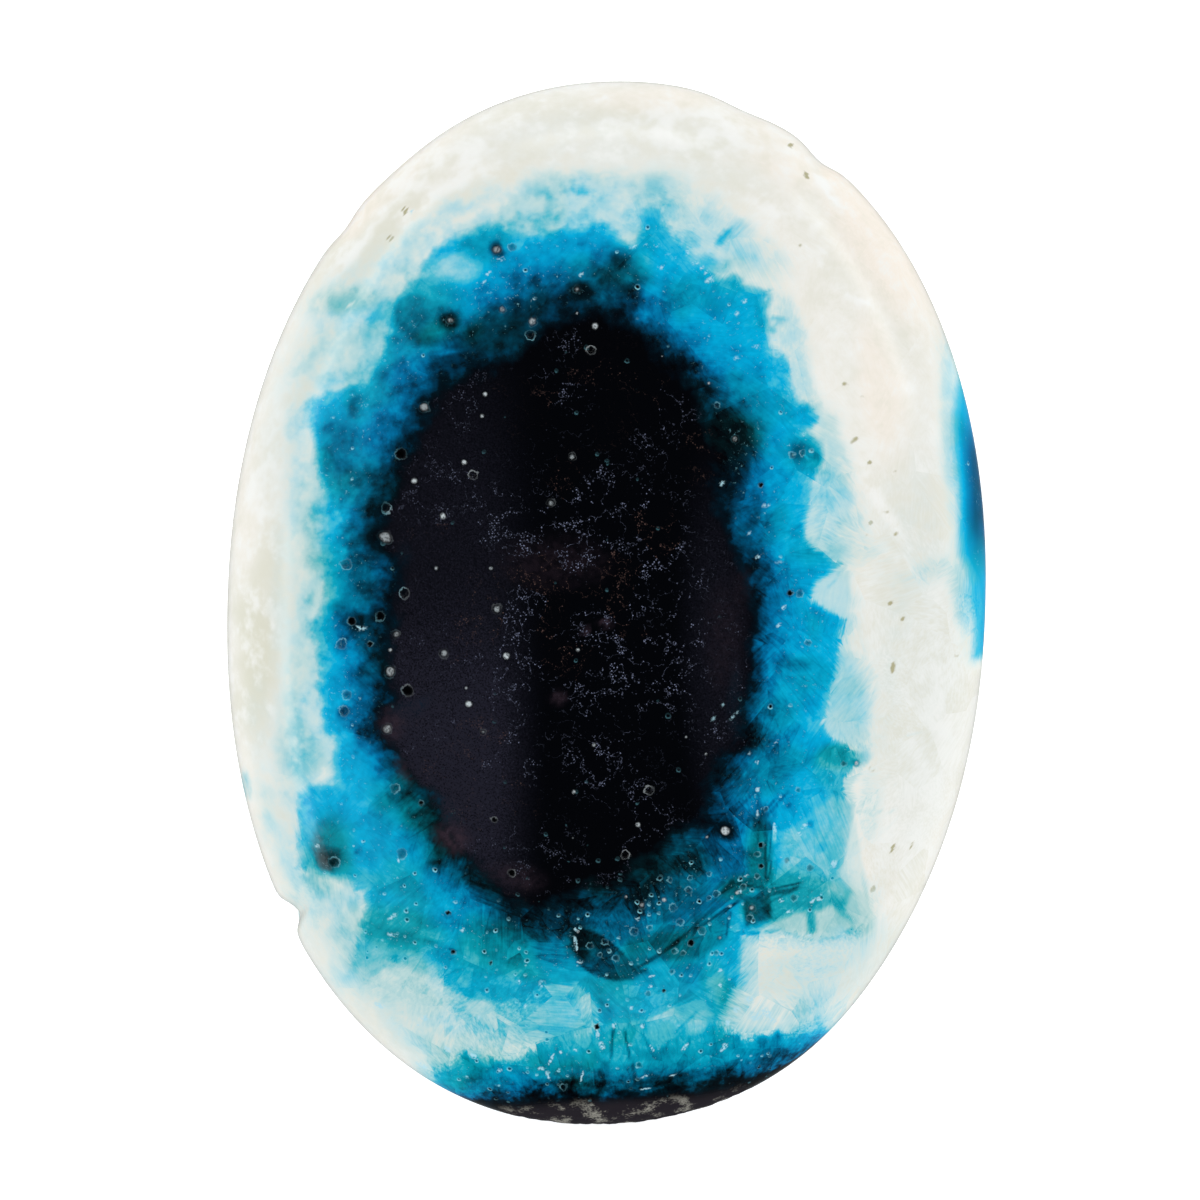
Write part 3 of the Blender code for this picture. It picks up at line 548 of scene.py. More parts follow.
# Olive brown specks in the cream rock: across, down, half length, half width and turn
SPECKS = [
    (845, 385, 3, 2.5, 0), (854, 440, 5, 3, 0), (868, 462, 3, 2.5, 0), (897, 473, 4, 2, 30),
    (885, 513, 3, 3, 0), (869, 537, 3, 2, 0), (889, 603, 3, 4, 0), (903, 619, 3, 3, 0), (893, 668, 3, 6, 0),
    (872, 770, 3, 3, 0), (873, 889, 3, 5, 30), (912, 846, 4, 3, 60), (893, 848, 3, 5, 20),
    (956, 655, 2.5, 2.5, 0), (868, 536, 3, 2, 0), (860, 568, 1.6, 5, 10), (855, 586, 1.6, 4, 10),
    (404, 212, 4, 3, 40), (392, 236, 4, 3, 60), (884, 742, 2, 2, 0), (789, 145, 3, 3, 0), (806, 176, 3, 4, 0),
    (870, 522, 3, 2, 0), (787, 744, 2, 2, 0), (802, 245, 2, 3, 0), (846, 507, 2, 2, 0), (397, 973, 3, 2, 0),
    (447, 1031, 3, 2, 0), (864, 398, 3, 2, 0), (896, 534, 2, 2, 0), (878, 462, 2, 2, 0), (866, 900, 2, 2, 0),
]

# Ground tints of the cream rock: across, down, half length and half width, turn and strength
OLIVE_ZONES = [
    (375, 235, 110, 40, -50, 0.5), (470, 190, 90, 24, -25, 0.4), (735, 190, 60, 26, 20, 0.2),
    (256, 650, 100, 24, 90, 0.9), (272, 590, 90, 24, 90, 0.6), (830, 250, 60, 26, 60, 0.15),
    (912, 330, 60, 26, 80, 0.12), (600, 110, 120, 20, 0, 0.3), (850, 640, 80, 20, 90, 0.2),
    (335, 345, 90, 26, -62, 0.6), (300, 640, 80, 10, 88, 0.4), (700, 150, 26, 14, 0, 0.4),
]
PEACH_ZONES = [
    (880, 240, 110, 40, 60, 1.0), (780, 150, 60, 30, 40, 0.6), (880, 390, 90, 26, 80, 0.8),
    (360, 205, 50, 18, -50, 0.9), (420, 150, 60, 18, -30, 0.6), (400, 180, 60, 14, -45, 0.5),
    (660, 100, 80, 16, 0, 0.5), (250, 500, 90, 16, 95, 0.3), (834, 172, 20, 12, 20, 1.0),
    (860, 240, 30, 14, 60, 0.8), (885, 405, 26, 16, 20, 0.7), (940, 850, 90, 12, 110, 0.3), (345, 990, 80, 10, 48, 0.35),
]
# Chalky white patches; the thin line at 829, 190 along the chipped upper right rim is a painted highlight where the
# ridge catches the light
CHALK_AND_GLINT_ZONES = [
    (700, 130, 110, 26, 10, 0.7), (850, 560, 200, 40, 85, 0.4), (930, 700, 160, 40, 95, 0.6),
    (440, 165, 80, 20, -30, 0.6), (770, 1010, 50, 14, 20, 0.8), (280, 800, 60, 16, 75, 0.3),
    (280, 430, 120, 18, 105, 0.5), (900, 870, 80, 50, 110, 0.4), (829, 190, 34, 6, 56, 1.0),
    (828, 268, 14, 5, 50, 1.0), (842, 290, 12, 5, 50, 1.0), (858, 297, 14, 4, 20, 0.9),
    (880, 500, 60, 8, 60, 0.8), (900, 560, 60, 8, 35, 0.6), (790, 215, 50, 8, 20, 0.8),
    (925, 250, 30, 10, 70, 0.6), (355, 250, 60, 8, -52, 0.7), (440, 195, 60, 8, -30, 0.7),
]
GREY_ZONES = [
    (288, 640, 150, 20, 90, 0.8), (915, 660, 240, 60, 92, 0.5), (600, 140, 200, 30, 0, 0.25),
    (300, 400, 120, 34, 108, 0.7), (350, 300, 90, 30, -60, 0.5), (395, 985, 140, 62, 42, 1.0),
    (520, 1020, 90, 40, 10, 0.9), (640, 170, 130, 34, 5, 0.3), (302, 680, 180, 16, 92, 0.6),
    (305, 870, 90, 26, 70, 0.8), (845, 650, 110, 26, 90, 0.5), (820, 965, 100, 40, -20, 1.0),
    (790, 800, 130, 60, 90, 0.4), (270, 760, 90, 20, 80, 0.5), (700, 230, 80, 30, 20, 0.4),
    (820, 970, 90, 26, -30, 0.6), (360, 960, 60, 20, 60, 0.7), (430, 1050, 90, 26, 35, 1.0), (285, 840, 80, 22, 75, 1.0),
]
TEAL_ZONES = [
    (600, 1050, 220, 34, 0, 0.7), (560, 960, 220, 60, 0, 0.5), (640, 900, 120, 60, 0, 0.4), (430, 890, 110, 50, 35, 0.2),
    (420, 310, 50, 50, 0, 0.7), (330, 850, 40, 30, 90, 1.0), (400, 928, 60, 26, 15, 1.0), (800, 905, 70, 34, 0, 1.0),
    (762, 860, 50, 18, 90, 1.0), (838, 757, 26, 16, 0, 1.0), (804, 453, 30, 24, 0, 0.6), (340, 300, 50, 20, 0, 1.0),
    (735, 440, 30, 30, 0, 0.6), (585, 945, 36, 30, 0, 0.8), (480, 960, 80, 26, 20, 0.4), (715, 985, 20, 40, 0, 0.7),
    (690, 1010, 50, 30, 0, 0.6), (860, 910, 24, 30, 0, 1.0), (700, 940, 50, 30, -30, 0.8), (340, 450, 30, 50, 0, 0.4),
    (480, 1080, 40, 16, 0, 0.5), (640, 1080, 160, 16, 0, 0.5), (500, 330, 50, 30, 0, 0.6), (310, 600, 26, 100, 0, 0.5),
    (505, 1010, 80, 40, 20, 0.5), (620, 270, 30, 30, 0, 0.3), (740, 890, 30, 16, -20, 1.0), (752, 910, 14, 20, 0, 1.0),
    (668, 985, 40, 26, 0, 0.5), (400, 800, 30, 40, 30, 0.5), (425, 830, 60, 30, 50, 0.6),
]
# Places where the black core is thin and shows teal, and where it shows rust
VEIL_ZONES = [
    (410, 704, 26, 10, -25, 0.9), (440, 806, 38, 15, 40, 0.9), (412, 782, 26, 12, 40, 0.8),
    (470, 868, 34, 10, 40, 0.7), (402, 560, 20, 12, 90, 0.4), (600, 892, 60, 10, -8, 0.6),
    (735, 700, 50, 10, 90, 0.5), (712, 430, 26, 10, 75, 0.7), (466, 366, 30, 7, -20, 0.35),
    (700, 385, 26, 8, 50, 0.6), (690, 838, 30, 9, 0, 0.7), (545, 912, 40, 9, 10, 0.7),
]
RUST_ZONES = [
    (452, 838, 24, 16, 10, 0.75), (516, 876, 30, 14, 10, 0.35), (586, 630, 5, 4, 0, 1.0), (604, 624, 7, 3, 10, 0.9),
    (556, 700, 10, 8, 0, 0.5), (391, 724, 14, 18, 0, 0.5), (722, 640, 60, 20, 90, 0.15), (553, 560, 60, 30, 0, 0.2),
    (350, 618, 5, 9, 10, 0.7), (740, 590, 26, 10, 90, 0.15), (404, 768, 20, 8, 60, 0.4),
]


# Where the crystals are so small that the mesh has to be finer
CRYSTAL_FIELD = [
    (705, 765), (850, 740), (875, 880), (870, 935), (745, 950), (735, 1030), (800, 1030), (780, 1062),
    (640, 1094), (540, 1090), (560, 1000), (555, 900), (640, 850), (705, 830),
]
PIT_CLEAR = 8.0

# Width in pixels of the navy haze round the core, at turns from the right, clockwise
HAZE_TURNS = (-76, -60, -40, 0, 45, 90, 108, 135, 180, 225, 265)
HAZE_WIDTHS = (34, 36, 45, 26, 31, 50, 34, 25, 43, 45, 56)
BAND_HAZE = 18.0
TAPER = 0.16


def distance_inside(places, outline):
    """Distance in pixels from each place to an outline, positive inside it."""
    nearest = np.full(len(places), np.inf)
    inside = np.zeros(len(places), bool)
    x, y = places[:, 0], places[:, 1]
    for (x0, y0), (x1, y1) in zip(outline, outline[1:] + outline[:1]):
        run_x, run_y = x1 - x0, y1 - y0
        part = ((x - x0) * run_x + (y - y0) * run_y) / (run_x ** 2 + run_y ** 2)
        part = np.clip(part, 0.0, 1.0)
        nearest = np.minimum(nearest, np.hypot(x - x0 - part * run_x, y - y0 - part * run_y))
        if y0 != y1:
            crosses = (y0 > y) != (y1 > y)
            inside ^= crosses & (x < x0 + (y - y0) * run_x / run_y)
    return np.where(inside, nearest, -nearest)


def cut_finer(mesh, with_crystals):
    """Cut each face near a pit, and if wanted each face among the crystals, into four."""
    grid = bmesh.new()
    grid.from_mesh(mesh)
    grid.faces.ensure_lookup_table()
    middles = np.array([face.calc_center_median() for face in grid.faces])
    upward = np.array([face.normal.z for face in grid.faces]) > 0.0
    places = place_in_photo(middles)
    chosen = np.zeros(len(middles), bool)
    for x, y, radius, _ in PITS:
        chosen |= np.hypot(places[:, 0] - x, places[:, 1] - y) < radius + PIT_REACH
    if with_crystals:
        chosen |= distance_inside(places, CRYSTAL_FIELD) > 0.0
    edges = set()
    for number in np.flatnonzero(chosen & upward):
        edges.update(grid.faces[number].edges)
    bmesh.ops.subdivide_edges(grid, edges=list(edges), cuts=1, use_grid_fill=True)
    grid.to_mesh(mesh)
    grid.free()


def soft_noise(places, cell, seed):
    """Smooth random values from -1 to 1, with patches of about a cell's size in pixels."""
    lattice = np.random.default_rng(seed).uniform(-1.0, 1.0, (64, 64))
    grid = places / cell
    whole = np.floor(grid).astype(int)
    part = grid - whole
    part = part * part * (3.0 - 2.0 * part)
    i, j = whole[:, 0] % 63, whole[:, 1] % 63
    low = lattice[i, j] * (1 - part[:, 0]) + lattice[i + 1, j] * part[:, 0]
    high = lattice[i, j + 1] * (1 - part[:, 0]) + lattice[i + 1, j + 1] * part[:, 0]
    return low * (1 - part[:, 1]) + high * part[:, 1]


def soft_spot(places, x, y, half_length, half_width, turn):
    """1 in the middle of an oval spot and 0 outside it; the turn is in degrees, clockwise."""
    angle = np.radians(turn)
    off_x, off_y = places[:, 0] - x, places[:, 1] - y
    along = off_x * np.cos(angle) + off_y * np.sin(angle)
    aside = off_y * np.cos(angle) - off_x * np.sin(angle)
    return 1.0 - smooth_step(0.35, 1.25, np.hypot(along / half_length, aside / half_width))


def soft_cloud(places, x, y, half_length, half_width, turn):
    """Like a soft spot, but fading out slowly, without an edge."""
    angle = np.radians(turn)
    off_x, off_y = places[:, 0] - x, places[:, 1] - y
    along = (off_x * np.cos(angle) + off_y * np.sin(angle)) / half_length
    aside = (off_y * np.cos(angle) - off_x * np.sin(angle)) / half_width
    return np.exp(-1.15 * (along ** 2 + aside ** 2))


def strongest(places, patches):
    """The strongest of some soft oval zones at each place."""
    strength = np.zeros(len(places))
    for x, y, half_length, half_width, turn, top in patches:
        strength = np.maximum(strength, top * soft_spot(places, x, y, half_length, half_width, turn))
    return strength


def straight_line(places, x0, y0, x1, y1, half_width):
    """1 on a straight line from one place to another, thinning out at its two ends."""
    run_x, run_y = x1 - x0, y1 - y0
    along = ((places[:, 0] - x0) * run_x + (places[:, 1] - y0) * run_y) / (run_x ** 2 + run_y ** 2)
    aside = np.abs((places[:, 0] - x0) * run_y - (places[:, 1] - y0) * run_x) / np.hypot(run_x, run_y)
    ends = np.clip(np.minimum(along, 1.0 - along) / TAPER, 0.0, 1.0)
    return ends * (1.0 - smooth_step(0.3, 1.5, aside / half_width))


def store(mesh, name, values):
    """Keep one number for each point of the mesh, for the material to read."""
    attribute = mesh.attributes.new(name, "FLOAT", "POINT")
    attribute.data.foreach_set("value", np.asarray(values, np.float32))


def points_of(mesh):
    """The mesh's points as rows of three numbers."""
    flat = np.empty(len(mesh.vertices) * 3, np.float32)
    mesh.vertices.foreach_get("co", flat)
    return flat.reshape(-1, 3).astype(float)


def carve_pits(mesh):
    """Push each pit's floor in along the surface, and keep how far each point is from a pit's rim, with the strengths
    of the painted shade on its floor, the painted highlight round its rim and its filling.
    """
    points = points_of(mesh)
    normals = np.array([vertex.normal for vertex in mesh.vertices])
    places = place_in_photo(points)
    depth = np.zeros(len(points))
    edge = np.full(len(points), PIT_CLEAR)
    looks = {name: np.zeros(len(points)) for name in ("pit_floor_shade", "pit_rim_highlight", "pit_fill")}
    for number, (x, y, radius, kind) in enumerate(PITS):
        apart = np.hypot(places[:, 0] - x, places[:, 1] - y)
        near = np.flatnonzero((normals[:, 2] > 0.0) & (apart < radius + PIT_CLEAR))
        ragged = soft_noise(places[near] + 37.0 * number, radius * 0.9, 5)
        away = apart[near] * (1.0 + 0.2 * ragged) - radius
        hollow = 1.0 - smooth_step(-0.8 * radius, 0.0, away)
        depth[near] = np.maximum(depth[near], PIT_DEPTH[kind] * radius * pixel * hollow)
        bearing = np.arctan2(places[near, 1] - y, places[near, 0] - x)
        # The painted highlight round the rim is brighter on one side of each pit, as if lit from there
        lit_side = 0.25 + 0.75 * smooth_step(-0.5, 0.8, np.cos(bearing - 0.9 * (number % 7)))
        closer = away < edge[near]
        chosen = near[closer]
        edge[chosen] = away[closer]
        looks["pit_floor_shade"][chosen] = PIT_FLOOR_SHADE[kind]
        looks["pit_rim_highlight"][chosen] = PIT_RIM_HIGHLIGHT[kind] * lit_side[closer]
        looks["pit_fill"][chosen] = PIT_FILL[kind]
    broken = smooth_step(-6.0, 6.0, distance_inside(places, SKIN)) * (points[:, 2] > 0.0006)
    rough = soft_noise(places, 9.0, 11) + 0.6 * soft_noise(places, 4.0, 12)
    depth += broken * np.maximum(0.00001 + 0.00002 * rough, 0.0)
    points = points - normals * depth[:, None]
    mesh.vertices.foreach_set("co", points.astype(np.float32).ravel())
    mesh.update()
    store(mesh, "pit_edge", edge)
    for name, values in looks.items():
        store(mesh, name, values)
    store(mesh, "skin", broken)


def paint_tones(straight, wandering):
    """Tone that the listed marks leave, already weighted, and how far they cover each place."""
    paint = np.zeros(len(straight))
    cover = np.zeros(len(straight))

    def lay(weight, tone):
        paint[:] = paint * (1.0 - weight) + tone * weight
        cover[:] = cover * (1.0 - weight) + weight

    for tone, strength, softness, outline in FACETS:
        lay(strength * smooth_step(-softness, softness, distance_inside(straight, outline)), tone)
    for x, y, half_length, half_width, turn, tone, strength in STROKES:
        lay(strength * soft_spot(wandering, x, y, half_length, half_width, turn), tone)
    for x0, y0, x1, y1, half_width, tone, strength in SEAMS:
        lay(strength * straight_line(straight, x0, y0, x1, y1, half_width), tone)
    return paint, cover


def map_markings(mesh, points):
    """Keep, for each point, where it lies in the halo, the core and the smaller markings."""
    under = 1.0 - smooth_step(0.0, GIRDLE_HEIGHT, points[:, 2])
    seen = place_in_photo(points)
    low_right = smooth_step(-220.0, 160.0, 0.6 * (seen[:, 0] - 600.0) + (seen[:, 1] - 660.0))
    far_right = smooth_step(680.0, 800.0, seen[:, 0]) * smooth_step(380.0, 560.0, seen[:, 1])
    low_right *= 0.45 + 0.55 * smooth_step(340.0, 520.0, seen[:, 0])
    high_right = smooth_step(590.0, 700.0, seen[:, 0]) * smooth_step(150.0, 230.0, seen[:, 1])
    crisp = np.maximum(np.maximum(low_right, 0.8 * far_right), np.maximum(0.45 * high_right, 0.5 * under))
    store(mesh, "crisp", crisp)
    wander = np.column_stack([soft_noise(seen, 13.0, 1), soft_noise(seen, 13.0, 2)])
    broad_wander = np.column_stack([soft_noise(seen, 60.0, 3), soft_noise(seen, 60.0, 4)])
    places = seen + (2.6 - 1.8 * crisp)[:, None] * wander + 25.0 * under[:, None] * broad_wander

    halo = distance_inside(places, HALO) - 30.0 * under
    band = distance_inside(places, BOTTOM_BAND) + 10.0 * under
    patch = distance_inside(seen, RIGHT_PATCH) + 8.0 * under
    blue = np.maximum(halo, np.maximum(band, patch))
    core = distance_inside(places, CORE) - 45.0 * under
    black_band = distance_inside(places, BLACK_BAND)
    black = np.maximum(core, black_band)
    store(mesh, "blue", blue)
    store(mesh, "black", black)
    store(mesh, "band", smooth_step(-15.0, 5.0, band) * (1.0 - under))
    on_patch = smooth_step(-30.0, -10.0, patch) * (patch > band) * (seen[:, 0] > 900.0)
    store(mesh, "smooth", on_patch)
    darkest = 1.0 - smooth_step(25.0, 90.0, np.abs(seen[:, 1] - 487.0))
    deepest = np.clip(0.08 + 0.02 * patch, 0.0, 0.36) * (0.2 + 0.8 * darkest) * (1.0 - 0.6 * under)
    deepest *= smooth_step(-6.0, 0.0, patch)
    store(mesh, "deepen", deepest)

    turn = np.degrees(np.arctan2(seen[:, 1] - 610.0, seen[:, 0] - 570.0))
    haze = np.interp(turn, HAZE_TURNS, HAZE_WIDTHS, period=360.0)
    haze = np.where(black_band > core, BAND_HAZE, haze)
    store(mesh, "haze", haze)

    low = smooth_step(860.0, 980.0, seen[:, 1])
    fading = 7.0 + 10.0 * low + 4.0 * soft_noise(seen, 50.0, 6)
    edge_wash = (0.20 + 0.08 * low) * np.exp(np.minimum(blue, 0.0) / fading)
    zones = np.zeros(len(points))
    for x, y, half_length, half_width, turn, tone, strength in WASHES:
        zones += (tone * strength * soft_cloud(places, x, y, half_length, half_width, turn)) ** 3
    store(mesh, "wash", np.maximum(edge_wash, zones ** (1 / 3)) * (1.0 - 0.5 * under))

    paint, cover = paint_tones(seen + 0.5 * wander, places)
    store(mesh, "mark_paint", paint * (1.0 - under))
    store(mesh, "mark_cover", cover * (1.0 - under))
    for name, marks in (("grains", GRAINS), ("specks", SPECKS)):
        spots = strongest(places, [(*mark, 1.0) for mark in marks])
        store(mesh, name, spots * (1.0 - under))
    for name, patches in (
        ("olive", OLIVE_ZONES), ("peach", PEACH_ZONES), ("chalk_and_glint", CHALK_AND_GLINT_ZONES), ("grey", GREY_ZONES),
        ("teal", TEAL_ZONES), ("veil", VEIL_ZONES), ("rust", RUST_ZONES),
    ):
        store(mesh, name, strongest(places + 5.0 * broad_wander, patches))

    # Painted reflection: a grey film over the left of the black core, stronger lower down and ending in a straight
    # edge, and a fainter one on its right
    dim = 0.35 + 0.65 * smooth_step(560.0, 760.0, seen[:, 1])
    left_reflection = soft_spot(seen, 450, 660, 360, 130, 88) * (1.0 - smooth_step(480.0, 550.0, seen[:, 0])) * dim
    right_reflection = 0.30 * soft_spot(seen, 722, 660, 200, 40, 88)
    store(mesh, "painted_reflection", np.maximum(left_reflection, right_reflection) * (1.0 - under))
    store(mesh, "dust", 0.25 + 0.75 * soft_spot(seen, 610, 600, 280, 170, 85))
    bubbly = np.maximum(smooth_step(800.0, 900.0, seen[:, 1]), soft_spot(seen, 800, 453, 40, 30, 0))
    store(mesh, "bubbly", np.maximum(bubbly, 0.15))


def paint(red, green, blue):
    """A colour from its usual screen numbers, 0 to 255, as the linear one that the shader takes."""
    screen = np.array([red, green, blue]) / 255.0
    linear = np.where(screen <= 0.04045, screen / 12.92, ((screen + 0.055) / 1.055) ** 2.4)
    return (*[float(part) for part in linear], 1.0)


def add_node(tree, kind, inputs=None, **settings):
    """Put a node into a tree, with its settings, and a value or a link for each named input."""
    node = tree.nodes.new(kind)
    for name, value in settings.items():
        setattr(node, name, value)
    for name, value in (inputs or {}).items():
        socket = node.inputs[name]
        if isinstance(value, bpy.types.NodeSocket):
            tree.links.new(value, socket)
        else:
            socket.default_value = value
    return node


def sum_up(tree, operation, first, second=0.0, third=0.0, clamp=False):
    """One sum on numbers."""
    inputs = {0: first, 1: second, 2: third}
    return add_node(tree, "ShaderNodeMath", inputs, operation=operation, use_clamp=clamp).outputs[0]


def shift(tree, operation, first, second):
    """One sum on places or colours."""
    return add_node(tree, "ShaderNodeVectorMath", {0: first, 1: second}, operation=operation).outputs[0]


def stretch(tree, place, amount):
    """A place or direction times a number."""
    inputs = {0: place, "Scale": amount}
    return add_node(tree, "ShaderNodeVectorMath", inputs, operation="SCALE").outputs[0]


def rise(tree, value, low, high, start=0.0, end=1.0):
    """A number that goes smoothly from start to end while the value goes from low to high."""
    inputs = {"Value": value, "From Min": low, "From Max": high, "To Min": start, "To Max": end}
    node = add_node(tree, "ShaderNodeMapRange", inputs, interpolation_type="SMOOTHSTEP")
    return node.outputs["Result"]


def swing(tree, value, amount):
    """Noise from 0 to 1 as a swing to both sides of 0."""
    return sum_up(tree, "MULTIPLY_ADD", value, amount, -0.5 * amount)


def between(tree, share, first, second):
    """A number between two others."""
    return add_node(tree, "ShaderNodeMix", {0: share, 2: first, 3: second}, data_type="FLOAT").outputs[0]


def blend(tree, share, first, second):
    """A colour between two others."""
    return add_node(tree, "ShaderNodeMix", {0: share, 6: first, 7: second}, data_type="RGBA").outputs[2]


def clouds(tree, place, size, detail=2.0, roughness=0.5):
    """Cloudy noise, with clouds of about that size in pixels."""
    inputs = {"Vector": place, "Scale": 1.0 / size, "Detail": detail, "Roughness": roughness}
    return add_node(tree, "ShaderNodeTexNoise", inputs)


def cells(tree, place, size, feature="F1"):
    """Cells of about that size in pixels."""
    return add_node(tree, "ShaderNodeTexVoronoi", {"Vector": place, "Scale": 1.0 / size}, feature=feature)


def new_group(name, inputs, outputs):
    """An empty shader node group with named sockets, and the nodes for its inputs and outputs."""
    group = bpy.data.node_groups.new(name, "ShaderNodeTree")
    for socket, kind in inputs:
        group.interface.new_socket(socket, in_out="INPUT", socket_type=kind)
    for socket, kind in outputs:
        group.interface.new_socket(socket, in_out="OUTPUT", socket_type=kind)
    given = group.nodes.new("NodeGroupInput")
    result = group.nodes.new("NodeGroupOutput")
    return group, given, result


BUNDLE_SIZE = 48.0
BLADE_WIDTH = 12.0
BLADE_STRETCH = 0.82
NEEDLE_WIDTH = 2.6
NEEDLE_STRETCH = 0.94


def crystal_blades():
    """Bundles of long straight crystals: each bundle lies its own way, and each blade has its tint."""
    group, given, result = new_group(
        "crystal_blades",
        [("Place", "NodeSocketVector"), ("Upright", "NodeSocketFloat")],
        [("Needles", "NodeSocketFloat"), ("Tint", "NodeSocketFloat"), ("Seam", "NodeSocketFloat"),
         ("Bundle", "NodeSocketFloat")],
    )
    place = given.outputs["Place"]
    bundle = cells(group, place, BUNDLE_SIZE)
    chance = shift(group, "SUBTRACT", bundle.outputs["Color"], (0.5, 0.5, 0.5))
    flat = shift(group, "MULTIPLY", chance, (1.0, 1.0, 0.35))
    upright = shift(group, "ADD", (0.0, 0.7, 0.1), stretch(group, flat, 0.5))
    lean = add_node(group, "ShaderNodeMix", {0: given.outputs["Upright"], 4: flat, 5: upright},
                    data_type="VECTOR").outputs[1]
    along = add_node(group, "ShaderNodeVectorMath", {0: lean}, operation="NORMALIZE").outputs[0]
    run = add_node(group, "ShaderNodeVectorMath", {0: place, 1: along}, operation="DOT_PRODUCT")
    part = stretch(group, along, run.outputs["Value"])
    blade_place = shift(group, "SUBTRACT", place, stretch(group, part, BLADE_STRETCH))
    needle_place = shift(group, "SUBTRACT", place, stretch(group, part, NEEDLE_STRETCH))
    blade = cells(group, blade_place, BLADE_WIDTH)
    seam = cells(group, blade_place, BLADE_WIDTH, "DISTANCE_TO_EDGE")
    needles = clouds(group, needle_place, NEEDLE_WIDTH, 2.0, 0.6)
    tint = add_node(group, "ShaderNodeSeparateColor", {0: blade.outputs["Color"]})
    whole = add_node(group, "ShaderNodeSeparateColor", {0: bundle.outputs["Color"]})
    group.links.new(needles.outputs["Fac"], result.inputs["Needles"])
    group.links.new(tint.outputs[0], result.inputs["Tint"])
    group.links.new(rise(group, seam.outputs["Distance"], 0.0, 0.09, 1.0, 0.0), result.inputs["Seam"])
    group.links.new(whole.outputs[2], result.inputs["Bundle"])
    return group


def cut_bubbles():
    """Tiny bubbles cut open by the polish: some cells hold one, with painted shade inside and a pale painted highlight
    on one side of its rim.
    """
    group, given, result = new_group(
        "cut_bubbles",
        [("Place", "NodeSocketVector"), ("Amount", "NodeSocketFloat")],
        [("Lip_Highlight", "NodeSocketFloat"), ("Hole_Shade", "NodeSocketFloat")],
    )
    found = cells(group, given.outputs["Place"], 10.0)
    chance = add_node(group, "ShaderNodeSeparateColor", {0: found.outputs["Color"]})
    chosen = sum_up(group, "LESS_THAN", chance.outputs[0], given.outputs["Amount"])
    radius = sum_up(group, "MULTIPLY_ADD", chance.outputs[1], 0.13, 0.10)
    ragged = swing(group, clouds(group, given.outputs["Place"], 3.5, 1.0).outputs["Fac"], 0.22)
    off = sum_up(group, "SUBTRACT", sum_up(group, "ADD", found.outputs["Distance"], ragged), radius)
    aside = shift(group, "SUBTRACT", given.outputs["Place"], found.outputs["Position"])
    heading = add_node(group, "ShaderNodeVectorMath", {0: aside}, operation="NORMALIZE").outputs[0]
    # The rim is paler on one side, a painted highlight
    lit = add_node(
        group, "ShaderNodeVectorMath", {0: heading, 1: (-0.3, -0.9, 0.0)}, operation="DOT_PRODUCT",
    ).outputs["Value"]
    ring = rise(group, sum_up(group, "ABSOLUTE", off), 0.03, 0.10, 1.0, 0.0)
    lip_highlight = sum_up(group, "MULTIPLY", ring, rise(group, lit, -0.2, 0.7, 0.2, 1.0))
    # Painted shade inside the bubble
    hole = rise(group, off, -0.10, -0.02, 1.0, 0.0)
    group.links.new(sum_up(group, "MULTIPLY", lip_highlight, chosen), result.inputs["Lip_Highlight"])
    group.links.new(sum_up(group, "MULTIPLY", hole, chosen), result.inputs["Hole_Shade"])
    return group


HAZE_POWER = 1.5
HAZE_START = 8.0

# Tones from the edge of the halo to the black core, each with the colour that it has
TONES = [
    (0.00, paint(222, 233, 229)), (0.10, paint(198, 225, 228)), (0.22, paint(146, 210, 225)),
    (0.34, paint(70, 192, 221)), (0.46, paint(3, 174, 220)), (0.60, paint(1, 146, 196)),
    (0.72, paint(1, 108, 158)), (0.84, paint(1, 66, 100)), (0.94, paint(2, 24, 36)),
    (1.00, paint(2, 3, 6)),
]
TEAL_TONES = [
    (0.00, paint(222, 233, 229)), (0.10, paint(194, 221, 219)), (0.22, paint(142, 201, 205)),
    (0.34, paint(80, 184, 193)), (0.46, paint(14, 162, 180)), (0.60, paint(3, 132, 149)),
    (0.72, paint(2, 96, 111)), (0.84, paint(2, 59, 68)), (0.94, paint(3, 26, 30)),
    (1.00, paint(2, 3, 6)),
]
CREAM = paint(240, 239, 232)
OLIVE_CREAM = paint(220, 220, 203)
PEACH_CREAM = paint(247, 239, 228)
CHALK_AND_GLINT_WHITE = paint(246, 247, 244)
PALE_GREY = paint(203, 219, 216)
GRAIN_WHITE = paint(176, 222, 236)
# Pale aqua of sparkles, and of the painted highlights on bubble and pit rims in the halo
HIGHLIGHT_AND_SPARKLE_AQUA = paint(130, 205, 222)
SPECK_OLIVE = paint(178, 174, 140)
# Grey of the painted reflection on the black core
REFLECTION_GREY = paint(31, 31, 42)
RUST_BROWN = paint(52, 41, 50)
DUST_BLUE = paint(132, 140, 168)
DUST_BROWN = paint(96, 75, 70)
SKIN_DARK = paint(34, 31, 37)
SKIN_SAND = paint(136, 135, 127)
# Black of the painted shade on pit floors
PIT_SHADE_BLACK = paint(3, 5, 8)
# Grey of the grains in pits, also the colour of the painted highlight round pit rims in the core
PIT_GRAINS_AND_HIGHLIGHT = paint(186, 196, 200)


def tone_colour(tree, tone, stops):
    """The colour of each tone."""
    node = add_node(tree, "ShaderNodeValToRGB", {"Fac": tone})
    ramp = node.color_ramp
    while len(ramp.elements) < len(stops):
        ramp.elements.new(0.5)
    for element, (position, colour) in zip(ramp.elements, stops):
        element.position = position
        element.color = colour
    return node.outputs["Color"]


